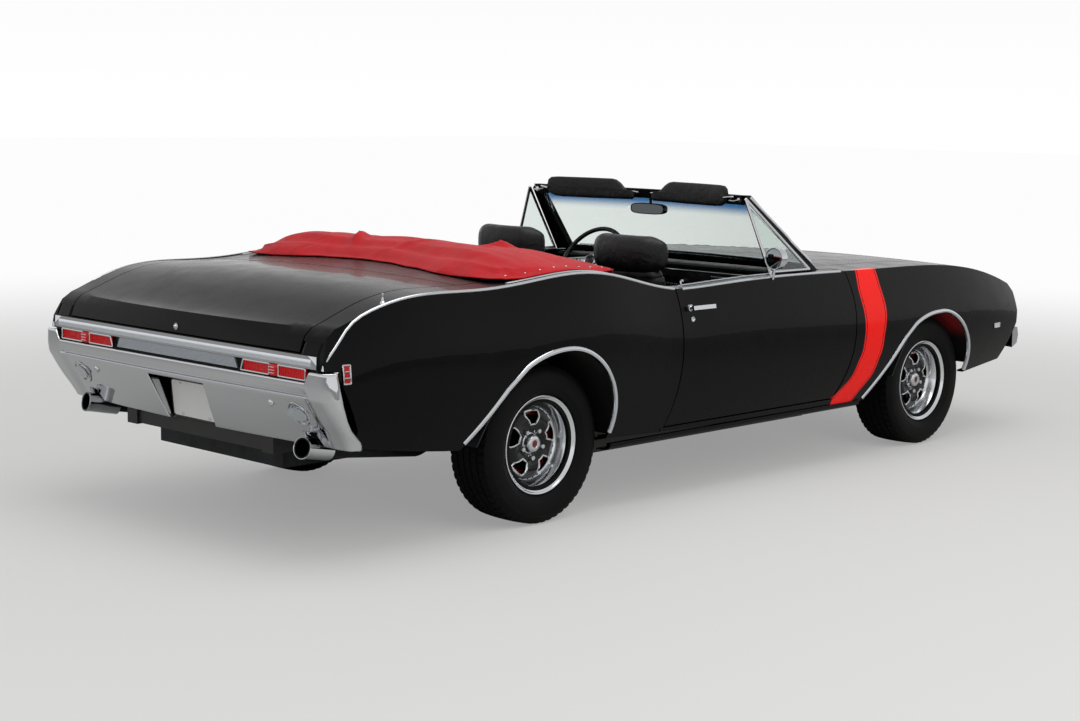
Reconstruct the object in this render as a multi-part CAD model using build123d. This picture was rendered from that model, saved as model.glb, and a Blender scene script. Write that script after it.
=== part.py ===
"""Two-door convertible muscle car of the late 1960s, body on frame, roof folded under its cover.

Millimetres. +Z up, the nose points to -Y, +X is the car's left side. The origin is on the
ground, under the middle of the car's overall box. Body panels are cut from one lofted body
form, so their surfaces run on from panel to panel.
"""

from math import cos, radians, sin
import os

from build123d import *

# ---- driving dimensions ----
WHEELBASE = 2845.0
FRONT_AXLE_Y = -1515.0
REAR_AXLE_Y = FRONT_AXLE_Y + WHEELBASE
TRACK = 1499.0
WHEEL_X = TRACK / 2
TYRE_DIAMETER = 664.0
TYRE_WIDTH = 236.0
TYRE_RADIUS = TYRE_DIAMETER / 2
AXLE_Z = TYRE_RADIUS
RIM_LIP_DIAMETER = 416.0
RIM_BARREL_RADIUS = 178.0
RIM_WIDTH = 201.0
KINGPIN_X = 715.0

SKIN = 8.0
LID_FRAME = 26.0
PANEL_GAP = 6.0
DOOR_GAP = 7.0
SEAT_GAP = 0.3
FAR = 1400.0

# ---- body form: one row for each cross-section ----
# columns: y, crown z, peak x, peak z, widest x, widest z, sill x, sill z
SECTIONS = [
    (-2620.0, 800.0, 800.0, 690.0, 832.0, 590.0, 800.0, 420.0),
    (-2280.0, 868.0, 846.0, 808.0, 892.0, 610.0, 862.0, 392.0),
    (-1860.0, 925.0, 868.0, 904.0, 932.0, 620.0, 884.0, 352.0),
    (-1350.0, 960.0, 880.0, 940.0, 950.0, 620.0, 892.0, 308.0),
    (-750.0, 972.0, 888.0, 946.0, 952.0, 615.0, 895.0, 296.0),
    (-150.0, 975.0, 893.0, 951.0, 945.0, 610.0, 895.0, 300.0),
    (400.0, 962.0, 894.0, 935.0, 940.0, 605.0, 895.0, 308.0),
    (700.0, 985.0, 898.0, 960.0, 945.0, 615.0, 896.0, 316.0),
    (1000.0, 1050.0, 904.0, 1028.0, 960.0, 635.0, 898.0, 328.0),
    (1330.0, 1060.0, 906.0, 1036.0, 967.0, 650.0, 900.0, 345.0),
    (1900.0, 1034.0, 899.0, 1006.0, 958.0, 650.0, 892.0, 382.0),
    (2300.0, 978.0, 884.0, 958.0, 938.0, 650.0, 882.0, 436.0),
    (2620.0, 915.0, 868.0, 905.0, 912.0, 650.0, 868.0, 450.0),
]
# nose and tail faces, (y, z) from top to bottom, on the centre line and at END_X
END_X = 980.0
NOSE_CENTRE = [(-2330, 1200), (-2440, 822), (-2492, 770), (-2508, 640), (-2495, 560), (-2450, 430), (-2350, 200)]
NOSE_SIDE = [(-2130, 1200), (-2268, 806), (-2350, 734), (-2380, 640), (-2364, 579), (-2225, 444), (-1970, 200)]
TAIL_CENTRE = [(2480, 1200), (2522, 924), (2532, 868), (2538, 812), (2536, 690), (2490, 440), (2480, 200)]
TAIL_SIDE = [(2130, 1200), (2380, 937), (2492, 870), (2529, 800), (2534, 690), (2355, 450), (2260, 200)]

# ---- panel lines ----
HOOD_REAR_Y = -852.0
HOOD_REAR_X = 706.0
HOOD_FRONT_X = 640.0
HOOD_HINGE_Z = 972.0
LID_HINGE_Z = 1045.0
HINGE_X = (560, 600)
HINGE_RADIUS = 45.0
HOOD_LIP_Z = 772.0
LID_FRONT_Y = 1745.0
LID_HALF_X = 762.0
LID_BOTTOM_Z = 812.0
CABIN_FRONT_Y = -640.0
CABIN_REAR_Y = 1480.0
CABIN_HALF_X = 812.0
SILL_TOP_Z = 330.0
FLOOR_Z = 300.0
FLOOR = 10.0
FENDER_BOTTOM_Z = 290.0
BUMPER_TOP_Z = 708.0
BUMPER_FRONT_TOP = 560.0
DOOR_FOOT_Z = 337.0
DOOR_FLANGE_X = 870.0
BUMPER_STEP = 6.0
CREASE_Z = 652.0
PLATE_PAN_Y = 2432.0
PLATE_WIDTH = 305.0
PLATE_HEIGHT = 152.0
PLATE_RECESS = (190.0, 156.0, 632.0, 448.0)
BACKUP_LAMP = (723.0, 2501.0, 572.0)
TAIL_HALF_X = 876.0
TRIM_PROUD = 9.0
BUMPER_PROUD = 30.0
LIP = 8.0
FIREWALL_Y = -762.0
TUNNEL_X = 168.0
TUNNEL_Z = 580.0
SHAFT_TUNNEL_X = 130.0
SHAFT_TUNNEL_Z = 418.0
SILL_X = 796.0
RISER_Y = 956.0
TRUNK_FLOOR_Z = 460.0
TRUNK_REAR_Y = 2380.0
HOUSING_X = 596.0
HOUSING_RADIUS = 414.0
LINER_RADIUS = 391.0
APRON_X = 442.0
OPENING_BOTTOM = 588.0
OPENING_TOP = 752.0
LAMP_X = (440.0, 715.0)
LAMP_Z = 670.0
LAMP_RADIUS = 70.0
SEAT_FOOT_Z = 310.3
SEAT_X = 390.0
STEERING_HUB = (370.0, -291.0, 921.0)
STEERING_RAKE = 30.0
MIRROR = (915.0, -140.0, 1036.0)
VENT = [(838, -505, 962), (706, -172, 1296), (832, -205, 962)]
ARM_X = 455.0
TOW_HOLE_X = 455.0
TOW_HOLE_Y = (2200.0, 2320.0)
TOW_HOLE_RADIUS = 6.5
TOW_ACCESS_RADIUS = 16.0
EXHAUST_ROUTE = [(322, -1100, 440), (340, -950, 165), (340, 790, 165), (556, 1000, 166), (560, 1200, 425),
                 (560, 1440, 425), (560, 1765, 326), (690, 2240, 398), (712, 2400, 424)]
PIPE_BEND = 60.0
EXHAUST_TIP = [(712, 2400, 424), (726, 2489, 443)]
TIP_NOTCH = 48.0
HUB_RADIUS = 30.0


# ---- small makers ----
def block(x0, x1, y0, y1, z0, z1):
    """A box between two corners."""
    return Pos((x0 + x1) / 2, (y0 + y1) / 2, (z0 + z1) / 2) * Box(x1 - x0, y1 - y0, z1 - z0)


def side_polygon(points, x0, x1):
    """A straight-sided outline in the side view, (y, z), run from x0 to x1."""
    face = make_face(Plane.YZ * Polyline(*points, close=True))
    return Pos(x0, 0, 0) * extrude(face, x1 - x0, dir=(1, 0, 0))


def plan_polygon(points, z0, z1):
    """A straight-sided outline in the plan view, (x, y), run from z0 to z1."""
    face = make_face(Polyline(*points, close=True))
    return Pos(0, 0, z0) * extrude(face, z1 - z0)


def rod(start, end, radius):
    """A round bar between two points."""
    a = Vector(*start)
    b = Vector(*end)
    return Plane(a, z_dir=b - a) * Cylinder(radius, (b - a).length, align=(Align.CENTER, Align.CENTER, Align.MIN))


def both_sides(shape):
    """The left-hand shape with its mirror image, as one set of solids."""
    return shape + mirror(shape, Plane.YZ)


def put(node, shape):
    """Write one node's STEP file."""
    export_step(shape, f"parts/{node}.step")


def put_pair(node, left):
    """Write the left-hand piece and its mirrored right-hand piece."""
    put(f"{node}_left", left)
    put(f"{node}_right", mirror(left, Plane.YZ))


# ---- body form ----
def body_section(row, inset):
    """One closed cross-section: flat floor, curved side up to the peak, crowned top."""
    y, crown_z, peak_x, peak_z, wide_x, wide_z, sill_x, sill_z = row
    peak_x, wide_x, sill_x = peak_x - inset, wide_x - inset, sill_x - inset
    peak_z, crown_z, sill_z = peak_z - inset, crown_z - inset, sill_z + inset
    plane = Plane((0, y, 0), x_dir=(1, 0, 0), z_dir=(0, -1, 0))
    outline = Line((-sill_x, sill_z), (sill_x, sill_z))
    outline += ThreePointArc((sill_x, sill_z), (wide_x, wide_z), (peak_x, peak_z))
    outline += ThreePointArc((peak_x, peak_z), (0, crown_z), (-peak_x, peak_z))
    outline += ThreePointArc((-peak_x, peak_z), (-wide_x, wide_z), (-sill_x, sill_z))
    return plane * make_face(outline)


def end_cutter(centre, side, shift, far_y):
    """Everything beyond a nose or tail face that bows in plan."""
    faces = []
    for x, profile in ((-END_X, side), (0.0, centre), (END_X, side)):
        points = [(y + shift, z) for y, z in profile]
        points += [(far_y, profile[-1][1]), (far_y, profile[0][1])]
        plane = Plane((x, 0, 0), x_dir=(0, 1, 0), z_dir=(1, 0, 0))
        faces.append(plane * make_face(Polyline(*points, close=True)))
    return loft(faces)


def body_form(inset):
    """The whole body form, smaller by inset all round."""
    form = loft([body_section(row, inset) for row in SECTIONS])
    form -= end_cutter(NOSE_CENTRE, NOSE_SIDE, inset, -2900)
    form -= end_cutter(TAIL_CENTRE, TAIL_SIDE, -inset, 2900)
    return form


def arch_prism(rear_foot, rear_rise, middle, crest, front_bulge, front_foot, x0, x1):
    """A wheel opening in the side view: a sloped rear edge, a round top and a round front."""
    outline = Line(rear_foot, rear_rise)
    outline += ThreePointArc(rear_rise, middle, crest)
    outline += ThreePointArc(crest, front_bulge, front_foot)
    outline += Line(front_foot, (front_foot[0], 0))
    outline += Line((front_foot[0], 0), (rear_foot[0], 0))
    outline += Line((rear_foot[0], 0), rear_foot)
    return Pos(x0, 0, 0) * extrude(Plane.YZ * make_face(outline), x1 - x0, dir=(1, 0, 0))


def door_prism(edge, x0, x1):
    """The door's outline in the side view, moved in by edge all round."""
    front_top, front_mid, front_foot = (-700 + edge, 1000), (-757 + edge, 690), (-628 + edge, DOOR_FOOT_Z + edge)
    rear_top, rear_mid, rear_foot = (562 - edge, 1000), (530 - edge, 700), (612 - edge, DOOR_FOOT_Z + edge)
    outline = ThreePointArc(front_top, front_mid, front_foot)
    outline += Line(front_foot, rear_foot)
    outline += ThreePointArc(rear_foot, rear_mid, rear_top)
    outline += Line(rear_top, front_top)
    return Pos(x0, 0, 0) * extrude(Plane.YZ * make_face(outline), x1 - x0, dir=(1, 0, 0))


def hinge_pair(edge_y, height, side, inner):
    """Boss on the lid and its cradle beside the edge; side is 1 where the lid lies at greater y."""
    x0, x1 = HINGE_X
    disc = rod((x0, edge_y, height), (x1, edge_y, height), HINGE_RADIUS)
    bore = rod((x0 - 1, edge_y, height), (x1 + 1, edge_y, height), HINGE_RADIUS + SEAT_GAP)
    lid_side = sorted((edge_y, edge_y + side * 60))
    far_side = sorted((edge_y - side * PANEL_GAP, edge_y - side * 66))
    boss = disc & inner & block(x0, x1, *lid_side, 0, FAR)
    boss += disc & block(x0, x1, edge_y - 60, edge_y + 60, 0, height - 34)
    cradle = (inner & block(x0, x1, *far_side, height - 74, FAR)) - bore
    return both_sides(boss), both_sides(cradle)


def bow_band(half_x, edge_y, middle_y, depth, z):
    """A flat band bowed in plan, depth mm from front to back, at height z."""
    outline = ThreePointArc((-half_x, edge_y), (0, middle_y), (half_x, edge_y))
    outline += Line((half_x, edge_y), (half_x, edge_y + depth))
    outline += ThreePointArc((half_x, edge_y + depth), (0, middle_y + depth), (-half_x, edge_y + depth))
    outline += Line((-half_x, edge_y + depth), (-half_x, edge_y))
    return Plane((0, 0, z)) * make_face(outline)


def beam(start, end, width, height):
    """A box section between two points, level across."""
    a, b = Vector(*start), Vector(*end)
    along = b - a
    plane = Plane(a, x_dir=along.cross(Vector(0, 0, 1)), z_dir=along)
    return plane * Box(width, height, along.length, align=(Align.CENTER, Align.CENTER, Align.MIN))


def pipe_run(points, radius):
    """A round pipe through the given points, bent at each corner."""
    path = FilletPolyline(*points, radius=PIPE_BEND)
    return sweep(Plane(path @ 0, z_dir=path % 0) * Circle(radius), path)


# ---- wheels ----
def turned(points):
    """A closed outline of (across, radius) points turned about the wheel's axle, X."""
    face = make_face(Plane.XZ * Polyline(*points, close=True))
    return revolve(face, Axis.X, 360)


def rim():
    """Styled steel wheel: deep barrel, dished centre with five openings, round cap."""
    half = RIM_WIDTH / 2
    lip = RIM_LIP_DIAMETER / 2
    barrel = [(-half, lip), (-half, lip - 12), (-half + 12, 170), (half - 45, 164), (half - 8, lip - 14), (half, lip - 14),
              (half, lip), (half - LIP, lip), (half - LIP, RIM_BARREL_RADIUS), (-half + LIP, RIM_BARREL_RADIUS),
              (-half + LIP, lip)]
    centre = [(10, 0), (10, 60), (16, 166), (30, 166), (26, 60), (44, 52), (44, 34), (62, 34), (66, 26), (66, 0)]
    wheel = turned(barrel) + turned(centre)
    for k in range(5):
        opening = Polyline((-24, 74), (24, 74), (46, 132), (28, 148), (-28, 148), (-46, 132), close=True)
        cut = Plane((0, 0, 0), x_dir=(0, 1, 0), z_dir=(1, 0, 0)) * extrude(make_face(opening), 60)
        wheel -= Rot(72 * k, 0, 0) * cut
    bore = Rot(0, 90, 0) * Cylinder(HUB_RADIUS + SEAT_GAP, 2 * 28, align=(Align.CENTER, Align.CENTER, Align.CENTER))
    return wheel - bore


def tyre():
    """Tyre: beads between the rim lips, bulged side walls, flat tread."""
    half = TYRE_WIDTH / 2
    bead = RIM_WIDTH / 2 - LIP
    bore = RIM_BARREL_RADIUS
    outline = Line((-bead, bore), (bead, bore))
    outline += Line((bead, bore), (bead, RIM_LIP_DIAMETER / 2 + 4))
    outline += ThreePointArc((bead, RIM_LIP_DIAMETER / 2 + 4), (half, 268), (half - 14, TYRE_RADIUS - 14))
    outline += Line((half - 14, TYRE_RADIUS - 14), (half - 26, TYRE_RADIUS - 3))
    outline += ThreePointArc((half - 26, TYRE_RADIUS - 3), (0, TYRE_RADIUS), (-half + 26, TYRE_RADIUS - 3))
    outline += Line((-half + 26, TYRE_RADIUS - 3), (-half + 14, TYRE_RADIUS - 14))
    outline += ThreePointArc((-half + 14, TYRE_RADIUS - 14), (-half, 268), (-bead, RIM_LIP_DIAMETER / 2 + 4))
    outline += Line((-bead, RIM_LIP_DIAMETER / 2 + 4), (-bead, bore))
    return revolve(Plane.XZ * make_face(outline), Axis.X, 360)


def wheels():
    """Four rims and four tyres, each in its place."""
    right_rim, right_tyre = mirror(rim(), Plane.YZ), mirror(tyre(), Plane.YZ)
    for place, axle_y in (("front", FRONT_AXLE_Y), ("rear", REAR_AXLE_Y)):
        put(f"rim_{place}_left", Pos(WHEEL_X, axle_y, AXLE_Z) * rim())
        put(f"tyre_{place}_left", Pos(WHEEL_X, axle_y, AXLE_Z) * tyre())
        put(f"rim_{place}_right", Pos(-WHEEL_X, axle_y, AXLE_Z) * right_rim)
        put(f"tyre_{place}_right", Pos(-WHEEL_X, axle_y, AXLE_Z) * right_tyre)


# ---- body panels ----
def front_arch(x0, x1):
    """Front wheel opening."""
    return arch_prism((-880, 276), (-1222, 613), (-1360, 672), (-1510, 692), (-1752, 606), (-1844, 340), x0, x1)


def rear_arch(x0, x1):
    """Rear wheel opening."""
    return arch_prism((1880, 330), (1591, 644), (1452, 710), (1290, 733), (1054, 625), (985, 330), x0, x1)


def hood_plan(edge, z0, z1):
    """The hood's outline in plan, moved in by edge."""
    rear, front = HOOD_REAR_X - edge, HOOD_FRONT_X - edge
    rear_y = HOOD_REAR_Y - edge
    return plan_polygon([(-rear, rear_y), (rear, rear_y), (front, -2700), (-front, -2700)], z0, z1)


def lid_plan(edge, z0, z1):
    """The trunk lid's outline in plan, moved in by edge."""
    half, front = LID_HALF_X - edge, LID_FRONT_Y + edge
    return plan_polygon([(-half, front), (half, front), (half, 2700), (-half, 2700)], z0, z1)


def panels():
    """Outer skins, doors and lids, all from the one body form."""
    outer = body_form(0.0)
    inner = body_form(SKIN)
    deep = body_form(LID_FRAME)
    shell = outer - inner
    thick = outer - deep
    left = block(0, FAR, -FAR * 2, FAR * 2, 0, FAR)

    hood = shell & hood_plan(0, HOOD_LIP_Z, FAR)
    hood += thick & hood_plan(60, HOOD_LIP_Z + 60, FAR) & block(-FAR, FAR, -2360, 0, 0, FAR)
    hood_boss, hood_cradle = hinge_pair(HOOD_REAR_Y, HOOD_HINGE_Z, -1, inner)
    put("hood", hood + hood_boss)

    lid = shell & lid_plan(0, LID_BOTTOM_Z, FAR)
    lid += thick & lid_plan(60, LID_BOTTOM_Z + 50, FAR) & block(-FAR, FAR, 0, 2440, 0, FAR)
    lid_boss, lid_cradle = hinge_pair(LID_FRONT_Y, LID_HINGE_Z, 1, inner)
    put("trunk_lid", lid + lid_boss)

    skin = shell & left
    door_hole = door_prism(-DOOR_GAP, CABIN_HALF_X - DOOR_GAP, FAR)
    fender = skin & block(0, FAR, -2700, -636, FENDER_BOTTOM_Z, FAR)
    fender -= hood_plan(-PANEL_GAP, 560, FAR)
    fender -= block(0, 850, -2250, 0, 0, 700)
    fender -= block(0, 640, -2700, -2200, 0, 700)
    fender -= block(0, 850, -2700, -2240, 0, BUMPER_FRONT_TOP)
    fender -= block(0, 800, -2700, -2200, OPENING_BOTTOM, OPENING_TOP)
    fender -= block(0, HOOD_REAR_X, HOOD_REAR_Y - 20, 0, 560, FAR)
    fender -= front_arch(600, FAR)
    fender -= door_hole
    put_pair("fender", fender)

    door = thick & door_prism(0, DOOR_FLANGE_X, FAR)
    door += outer & door_prism(8, CABIN_HALF_X, FAR)
    put_pair("door", door)

    quarter = skin & block(0, FAR, 400, 2700, 0, FAR)
    quarter -= door_hole
    quarter -= block(0, FAR, 400, 640, 0, FAR) - block(0, FAR, 500, 640, SILL_TOP_Z, FAR)
    quarter -= block(0, CABIN_HALF_X, 400, CABIN_REAR_Y, 0, FAR)
    quarter -= lid_plan(-PANEL_GAP, 700, FAR)
    quarter -= block(0, LID_HALF_X + PANEL_GAP, CABIN_REAR_Y - 10, 2000, 0, FAR)
    quarter -= block(0, 850, 0, 2700, 0, 700)
    quarter -= block(0, TAIL_HALF_X, 2300, 2700, 0, LID_BOTTOM_Z + 40)
    quarter -= rear_arch(600, FAR)
    quarter -= side_polygon([(2486, 752), (2372, 517), (2372, 300), (2700, 300), (2700, 752)], 0, FAR)
    wall = outer & block(CABIN_HALF_X, CABIN_HALF_X + SKIN, 620, CABIN_REAR_Y, 560, FAR)
    wall -= rod((600, REAR_AXLE_Y, AXLE_Z), (FAR, REAR_AXLE_Y, AXLE_Z), HOUSING_RADIUS + SEAT_GAP)
    quarter += wall
    put_pair("quarter", quarter)

    deck = shell & block(-LID_HALF_X, LID_HALF_X, CABIN_REAR_Y, LID_FRONT_Y - PANEL_GAP, 900, FAR)
    put("deck_panel", deck + lid_cradle)

    tail = shell & block(-TAIL_HALF_X + 2, TAIL_HALF_X - 2, 2300, 2700, BUMPER_TOP_Z, LID_BOTTOM_Z - PANEL_GAP)
    put("tail_panel", tail)

    proud = body_form(-TRIM_PROUD) - outer
    lamps = None
    for x0, x1 in ((446, 622), (630, 812)):
        lens = proud & block(x0, x1, 2400, 2700, BUMPER_TOP_Z + 4, 754)
        lamps = lens if lamps is None else lamps + lens
    put("tail_lamps", both_sides(lamps))
    put("tail_trim", proud & block(-872, 872, 2400, 2700, 757, 804))

    face = body_form(-BUMPER_PROUD)
    backing = body_form(-BUMPER_PROUD + BUMPER_STEP + 4)
    upper = body_form(-BUMPER_PROUD + BUMPER_STEP) - block(-FAR, FAR, 2300, 2700, 0, CREASE_Z)
    lower = face & block(-FAR, FAR, 2300, 2700, 0, CREASE_Z)
    bumper = upper + lower - backing
    outline = [(2486, 748), (2374, 517), (2374, 446), (2700, 446), (2700, 748)]
    bumper &= side_polygon(outline, -FAR, FAR)
    bumper -= block(-TAIL_HALF_X + 8, TAIL_HALF_X - 8, 2300, 2700, BUMPER_TOP_Z, FAR)
    bumper -= block(-850, 850, 2300, 2480, 0, FAR)
    tip_foot, tip_end = EXHAUST_TIP
    reach = (Vector(*tip_end) - Vector(*tip_foot)) * 1.5
    bumper -= both_sides(rod(Vector(*tip_foot) - reach, Vector(*tip_end) + reach, TIP_NOTCH))
    pan = recess(PLATE_PAN_Y, 4) & face & block(-FAR, FAR, 2300, 2700, 446, FAR)
    bumper = bumper + pan - recess(PLATE_PAN_Y + 6, 0)
    horn = block(430, 480, 2440, 2600, 430, 500) & backing
    horn += block(430, 480, 2440, 2470, 385, 455)
    put("bumper_rear", bumper + both_sides(horn))
    put("blank_plate", block(-PLATE_WIDTH / 2, PLATE_WIDTH / 2, PLATE_PAN_Y + 6, PLATE_PAN_Y + 9, 454, 454 + PLATE_HEIGHT))

    x, y, z = BACKUP_LAMP
    oval = Plane((x, 2440, z), x_dir=(1, 0, 0), z_dir=(0, 1, 0)) * extrude(Ellipse(47, 27), 260)
    put("backup_lamps", both_sides((oval & body_form(-BUMPER_PROUD - 5)) - face))

    raised = body_form(-4) - outer
    markers = raised & block(800, FAR, 2424, 2456, 702, 772)
    markers += raised & block(800, FAR, -2156, -2096, 571, 593)
    put("side_markers", both_sides(markers))

    grip = (body_form(-30) - body_form(-19)) & block(800, FAR, 332, 484, 843, 861)
    for y in (340, 456):
        grip += (body_form(-25) - outer) & block(800, FAR, y, y + 20, 845, 859)
    put_pair("door_handle", grip)
    return outer, hood_cradle


def recess(back_y, wall):
    """Tapered hollow for the plate, open to the rear; wall widens it all round."""
    top, foot, top_z, foot_z = PLATE_RECESS
    points = [(-top - wall, top_z + wall), (top + wall, top_z + wall), (foot + wall, foot_z), (foot, foot_z - 60),
              (-foot, foot_z - 60), (-foot - wall, foot_z)]
    face = Plane.XZ * make_face(Polyline(*points, close=True))
    return Pos(0, back_y, 0) * extrude(face, 300, dir=(0, 1, 0))


def bumper_front(outer):
    """Chrome blade, bowed in plan, across the nose."""
    faces = []
    for x, back in ((-880, 150), (0, 0), (880, 150)):
        outline = [(-2500, 556), (-2548, 548), (-2560, 505), (-2548, 462), (-2500, 440)]
        points = [(y + back, z) for y, z in outline]
        plane = Plane((x, 0, 0), x_dir=(0, 1, 0), z_dir=(1, 0, 0))
        faces.append(plane * make_face(Polyline(*points, close=True)))
    put("bumper_front", loft(faces) - outer)


# ---- chassis ----
def chassis():
    """Perimeter frame with its cross members."""
    side = beam((415, -2420, 350), (415, -1150, 350), 70, 90)
    side += beam((415, -1180, 350), (440, -860, 252), 70, 95)
    side += beam((420, -885, 252), (605, -720, 252), 90, 96)
    side += beam((605, -760, 252), (605, 860, 252), 76, 96)
    side += beam((605, 820, 250), (455, 1010, 250), 90, 96)
    side += beam((455, 995, 258), (455, 1160, 420), 70, 90)
    side += beam((455, 1140, 420), (455, 2440, 420), 70, 80)
    side += block(ARM_X - 22, ARM_X + 22, 1000, 1040, 176, 250)
    frame = both_sides(side)
    frame += block(-440, 440, -1570, -1450, AXLE_Z - 125, 320)
    frame += block(-440, 440, -2400, -2330, 315, 385)
    frame += block(-600, 600, -180, -100, 206, 236)
    frame += block(-440, 440, 1700, 1770, 385, 455)
    frame += block(-440, 440, 2370, 2430, 385, 445)
    for y in TOW_HOLE_Y:
        frame -= both_sides(rod((TOW_HOLE_X, y, 0), (TOW_HOLE_X, y, 500), TOW_HOLE_RADIUS))
    put("frame_rails", frame)


def running_gear():
    """Front arms and springs, knuckles with their brakes, rear axle with its driveshaft."""
    low, high = AXLE_Z - 137, AXLE_Z + 135
    arms = plan_polygon([(380, -1440), (380, -1590), (KINGPIN_X - 60, -1540), (KINGPIN_X, -1540),
                         (KINGPIN_X, -1490), (KINGPIN_X - 60, -1490)], low - 12, low + 12)
    arms += plan_polygon([(APRON_X + SKIN, -1440), (APRON_X + SKIN, -1590), (KINGPIN_X - 60, -1540), (KINGPIN_X, -1540),
                          (KINGPIN_X, -1490), (KINGPIN_X - 60, -1490)], high - 10, high + 10)
    arms += Pos(500, FRONT_AXLE_Y, low) * Cylinder(48, 330, align=(Align.CENTER, Align.CENTER, Align.MIN))
    put("front_arms", both_sides(arms))

    upright = rod((KINGPIN_X, FRONT_AXLE_Y, low + 12 + SEAT_GAP), (KINGPIN_X, FRONT_AXLE_Y, high - 10 - SEAT_GAP), 22)
    upright += rod((KINGPIN_X - 20, FRONT_AXLE_Y, AXLE_Z), (WHEEL_X + 24, FRONT_AXLE_Y, AXLE_Z), HUB_RADIUS)
    upright += rod((WHEEL_X - 16, FRONT_AXLE_Y, AXLE_Z), (WHEEL_X + 4, FRONT_AXLE_Y, AXLE_Z), 70)
    upright += rod((WHEEL_X - 22, FRONT_AXLE_Y, AXLE_Z), (WHEEL_X - 8, FRONT_AXLE_Y, AXLE_Z), 124)
    put_pair("knuckle", upright)

    half = rod((0, REAR_AXLE_Y, AXLE_Z), (WHEEL_X - 20, REAR_AXLE_Y, AXLE_Z), 38)
    half += rod((WHEEL_X - 62, REAR_AXLE_Y, AXLE_Z), (WHEEL_X + 3, REAR_AXLE_Y, AXLE_Z), 132)
    half += rod((WHEEL_X - 20, REAR_AXLE_Y, AXLE_Z), (WHEEL_X + 24, REAR_AXLE_Y, AXLE_Z), HUB_RADIUS)
    axle = both_sides(half)
    axle += rod((0, REAR_AXLE_Y - 150, AXLE_Z), (0, REAR_AXLE_Y + 120, AXLE_Z), 120)
    axle += rod((0, 60, 300), (0, REAR_AXLE_Y - 100, AXLE_Z), 38)
    axle += both_sides(side_polygon([(1040, 186), (1040, 226), (REAR_AXLE_Y, 316), (REAR_AXLE_Y, 276)],
                                    ARM_X - 18, ARM_X + 18))
    put("rear_axle", axle)


def engine_and_pipes():
    """Engine as one block with its gearbox, two exhaust pipes, fuel tank."""
    engine = block(-290, 290, -1440, -870, 400, 820) + block(-200, 200, -1400, -900, 330, 400)
    engine += block(-140, 140, -870, -330, 262, 560) + block(-110, 110, -340, 50, 236, 400)
    put("engine", engine)
    left = pipe_run(EXHAUST_ROUTE, 28)
    x, y, z = EXHAUST_ROUTE[0]
    left += rod((290, y + 30, z), (x, y + 30, z), 32)
    tip_foot, tip_end = EXHAUST_TIP
    left += rod(tip_foot, tip_end, 38)
    left -= rod(tip_foot, tip_end, 34) & block(0, FAR, tip_foot[1] + 20, 2700, 0, FAR)
    put("exhaust", both_sides(left))
    tank = block(-410, 410, 1850, 2330, 300, TRUNK_FLOOR_Z)
    put("fuel_tank", tank)


def floors(outer, inner):
    """Cabin floor with its tunnel and sills, trunk floor with its wheel housings."""
    top = FLOOR_Z + FLOOR
    tunnel = block(-TUNNEL_X, TUNNEL_X, FIREWALL_Y, -310, FLOOR_Z, TUNNEL_Z)
    tunnel += block(-SHAFT_TUNNEL_X, SHAFT_TUNNEL_X, -310, RISER_Y, FLOOR_Z, SHAFT_TUNNEL_Z)
    hollow = block(-TUNNEL_X + SKIN, TUNNEL_X - SKIN, FIREWALL_Y - 1, -310 - SKIN, 0, TUNNEL_Z - SKIN)
    hollow += block(-SHAFT_TUNNEL_X + SKIN, SHAFT_TUNNEL_X - SKIN, -319, RISER_Y + 1, 0, SHAFT_TUNNEL_Z - SKIN)
    floor = block(-SILL_X, SILL_X, FIREWALL_Y, RISER_Y, FLOOR_Z, top) + tunnel
    sill = outer & block(SILL_X, FAR, -634, 634, 0, SILL_TOP_Z)
    floor += both_sides(sill)
    floor -= hollow
    put("floor_pan", floor)

    rear = block(-HOUSING_X, HOUSING_X, RISER_Y, TRUNK_REAR_Y, TRUNK_FLOOR_Z, TRUNK_FLOOR_Z + SKIN)
    rear += block(-840, 840, 1760, TRUNK_REAR_Y, TRUNK_FLOOR_Z, TRUNK_FLOOR_Z + SKIN)
    rear += block(-HOUSING_X, HOUSING_X, RISER_Y, RISER_Y + SKIN, top, TRUNK_FLOOR_Z + SKIN)
    rear += block(-760, 760, TRUNK_REAR_Y - SKIN, TRUNK_REAR_Y, TRUNK_FLOOR_Z, BUMPER_TOP_Z)
    rear += block(-760, 760, TRUNK_REAR_Y - SKIN, 2528, BUMPER_TOP_Z - SKIN, BUMPER_TOP_Z) & inner
    ring = rod((HOUSING_X, REAR_AXLE_Y, AXLE_Z), (FAR, REAR_AXLE_Y, AXLE_Z), HOUSING_RADIUS)
    ring -= rod((HOUSING_X + 6, REAR_AXLE_Y, AXLE_Z), (FAR, REAR_AXLE_Y, AXLE_Z), HOUSING_RADIUS - 6)
    ring &= block(0, FAR, 0, 2700, AXLE_Z, FAR)
    rear += both_sides(ring & inner)
    rear -= both_sides(block(HOUSING_X - 1, HOUSING_X + 7, REAR_AXLE_Y - 60, REAR_AXLE_Y + 60, 0, AXLE_Z + 90))
    for y in TOW_HOLE_Y:
        rear -= both_sides(rod((TOW_HOLE_X, y, 400), (TOW_HOLE_X, y, 500), TOW_ACCESS_RADIUS))
    rear -= block(-SHAFT_TUNNEL_X + SKIN, SHAFT_TUNNEL_X - SKIN, RISER_Y - 1, RISER_Y + SKIN + 1, 0, SHAFT_TUNNEL_Z - SKIN)
    put("rear_floor", rear)


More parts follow.
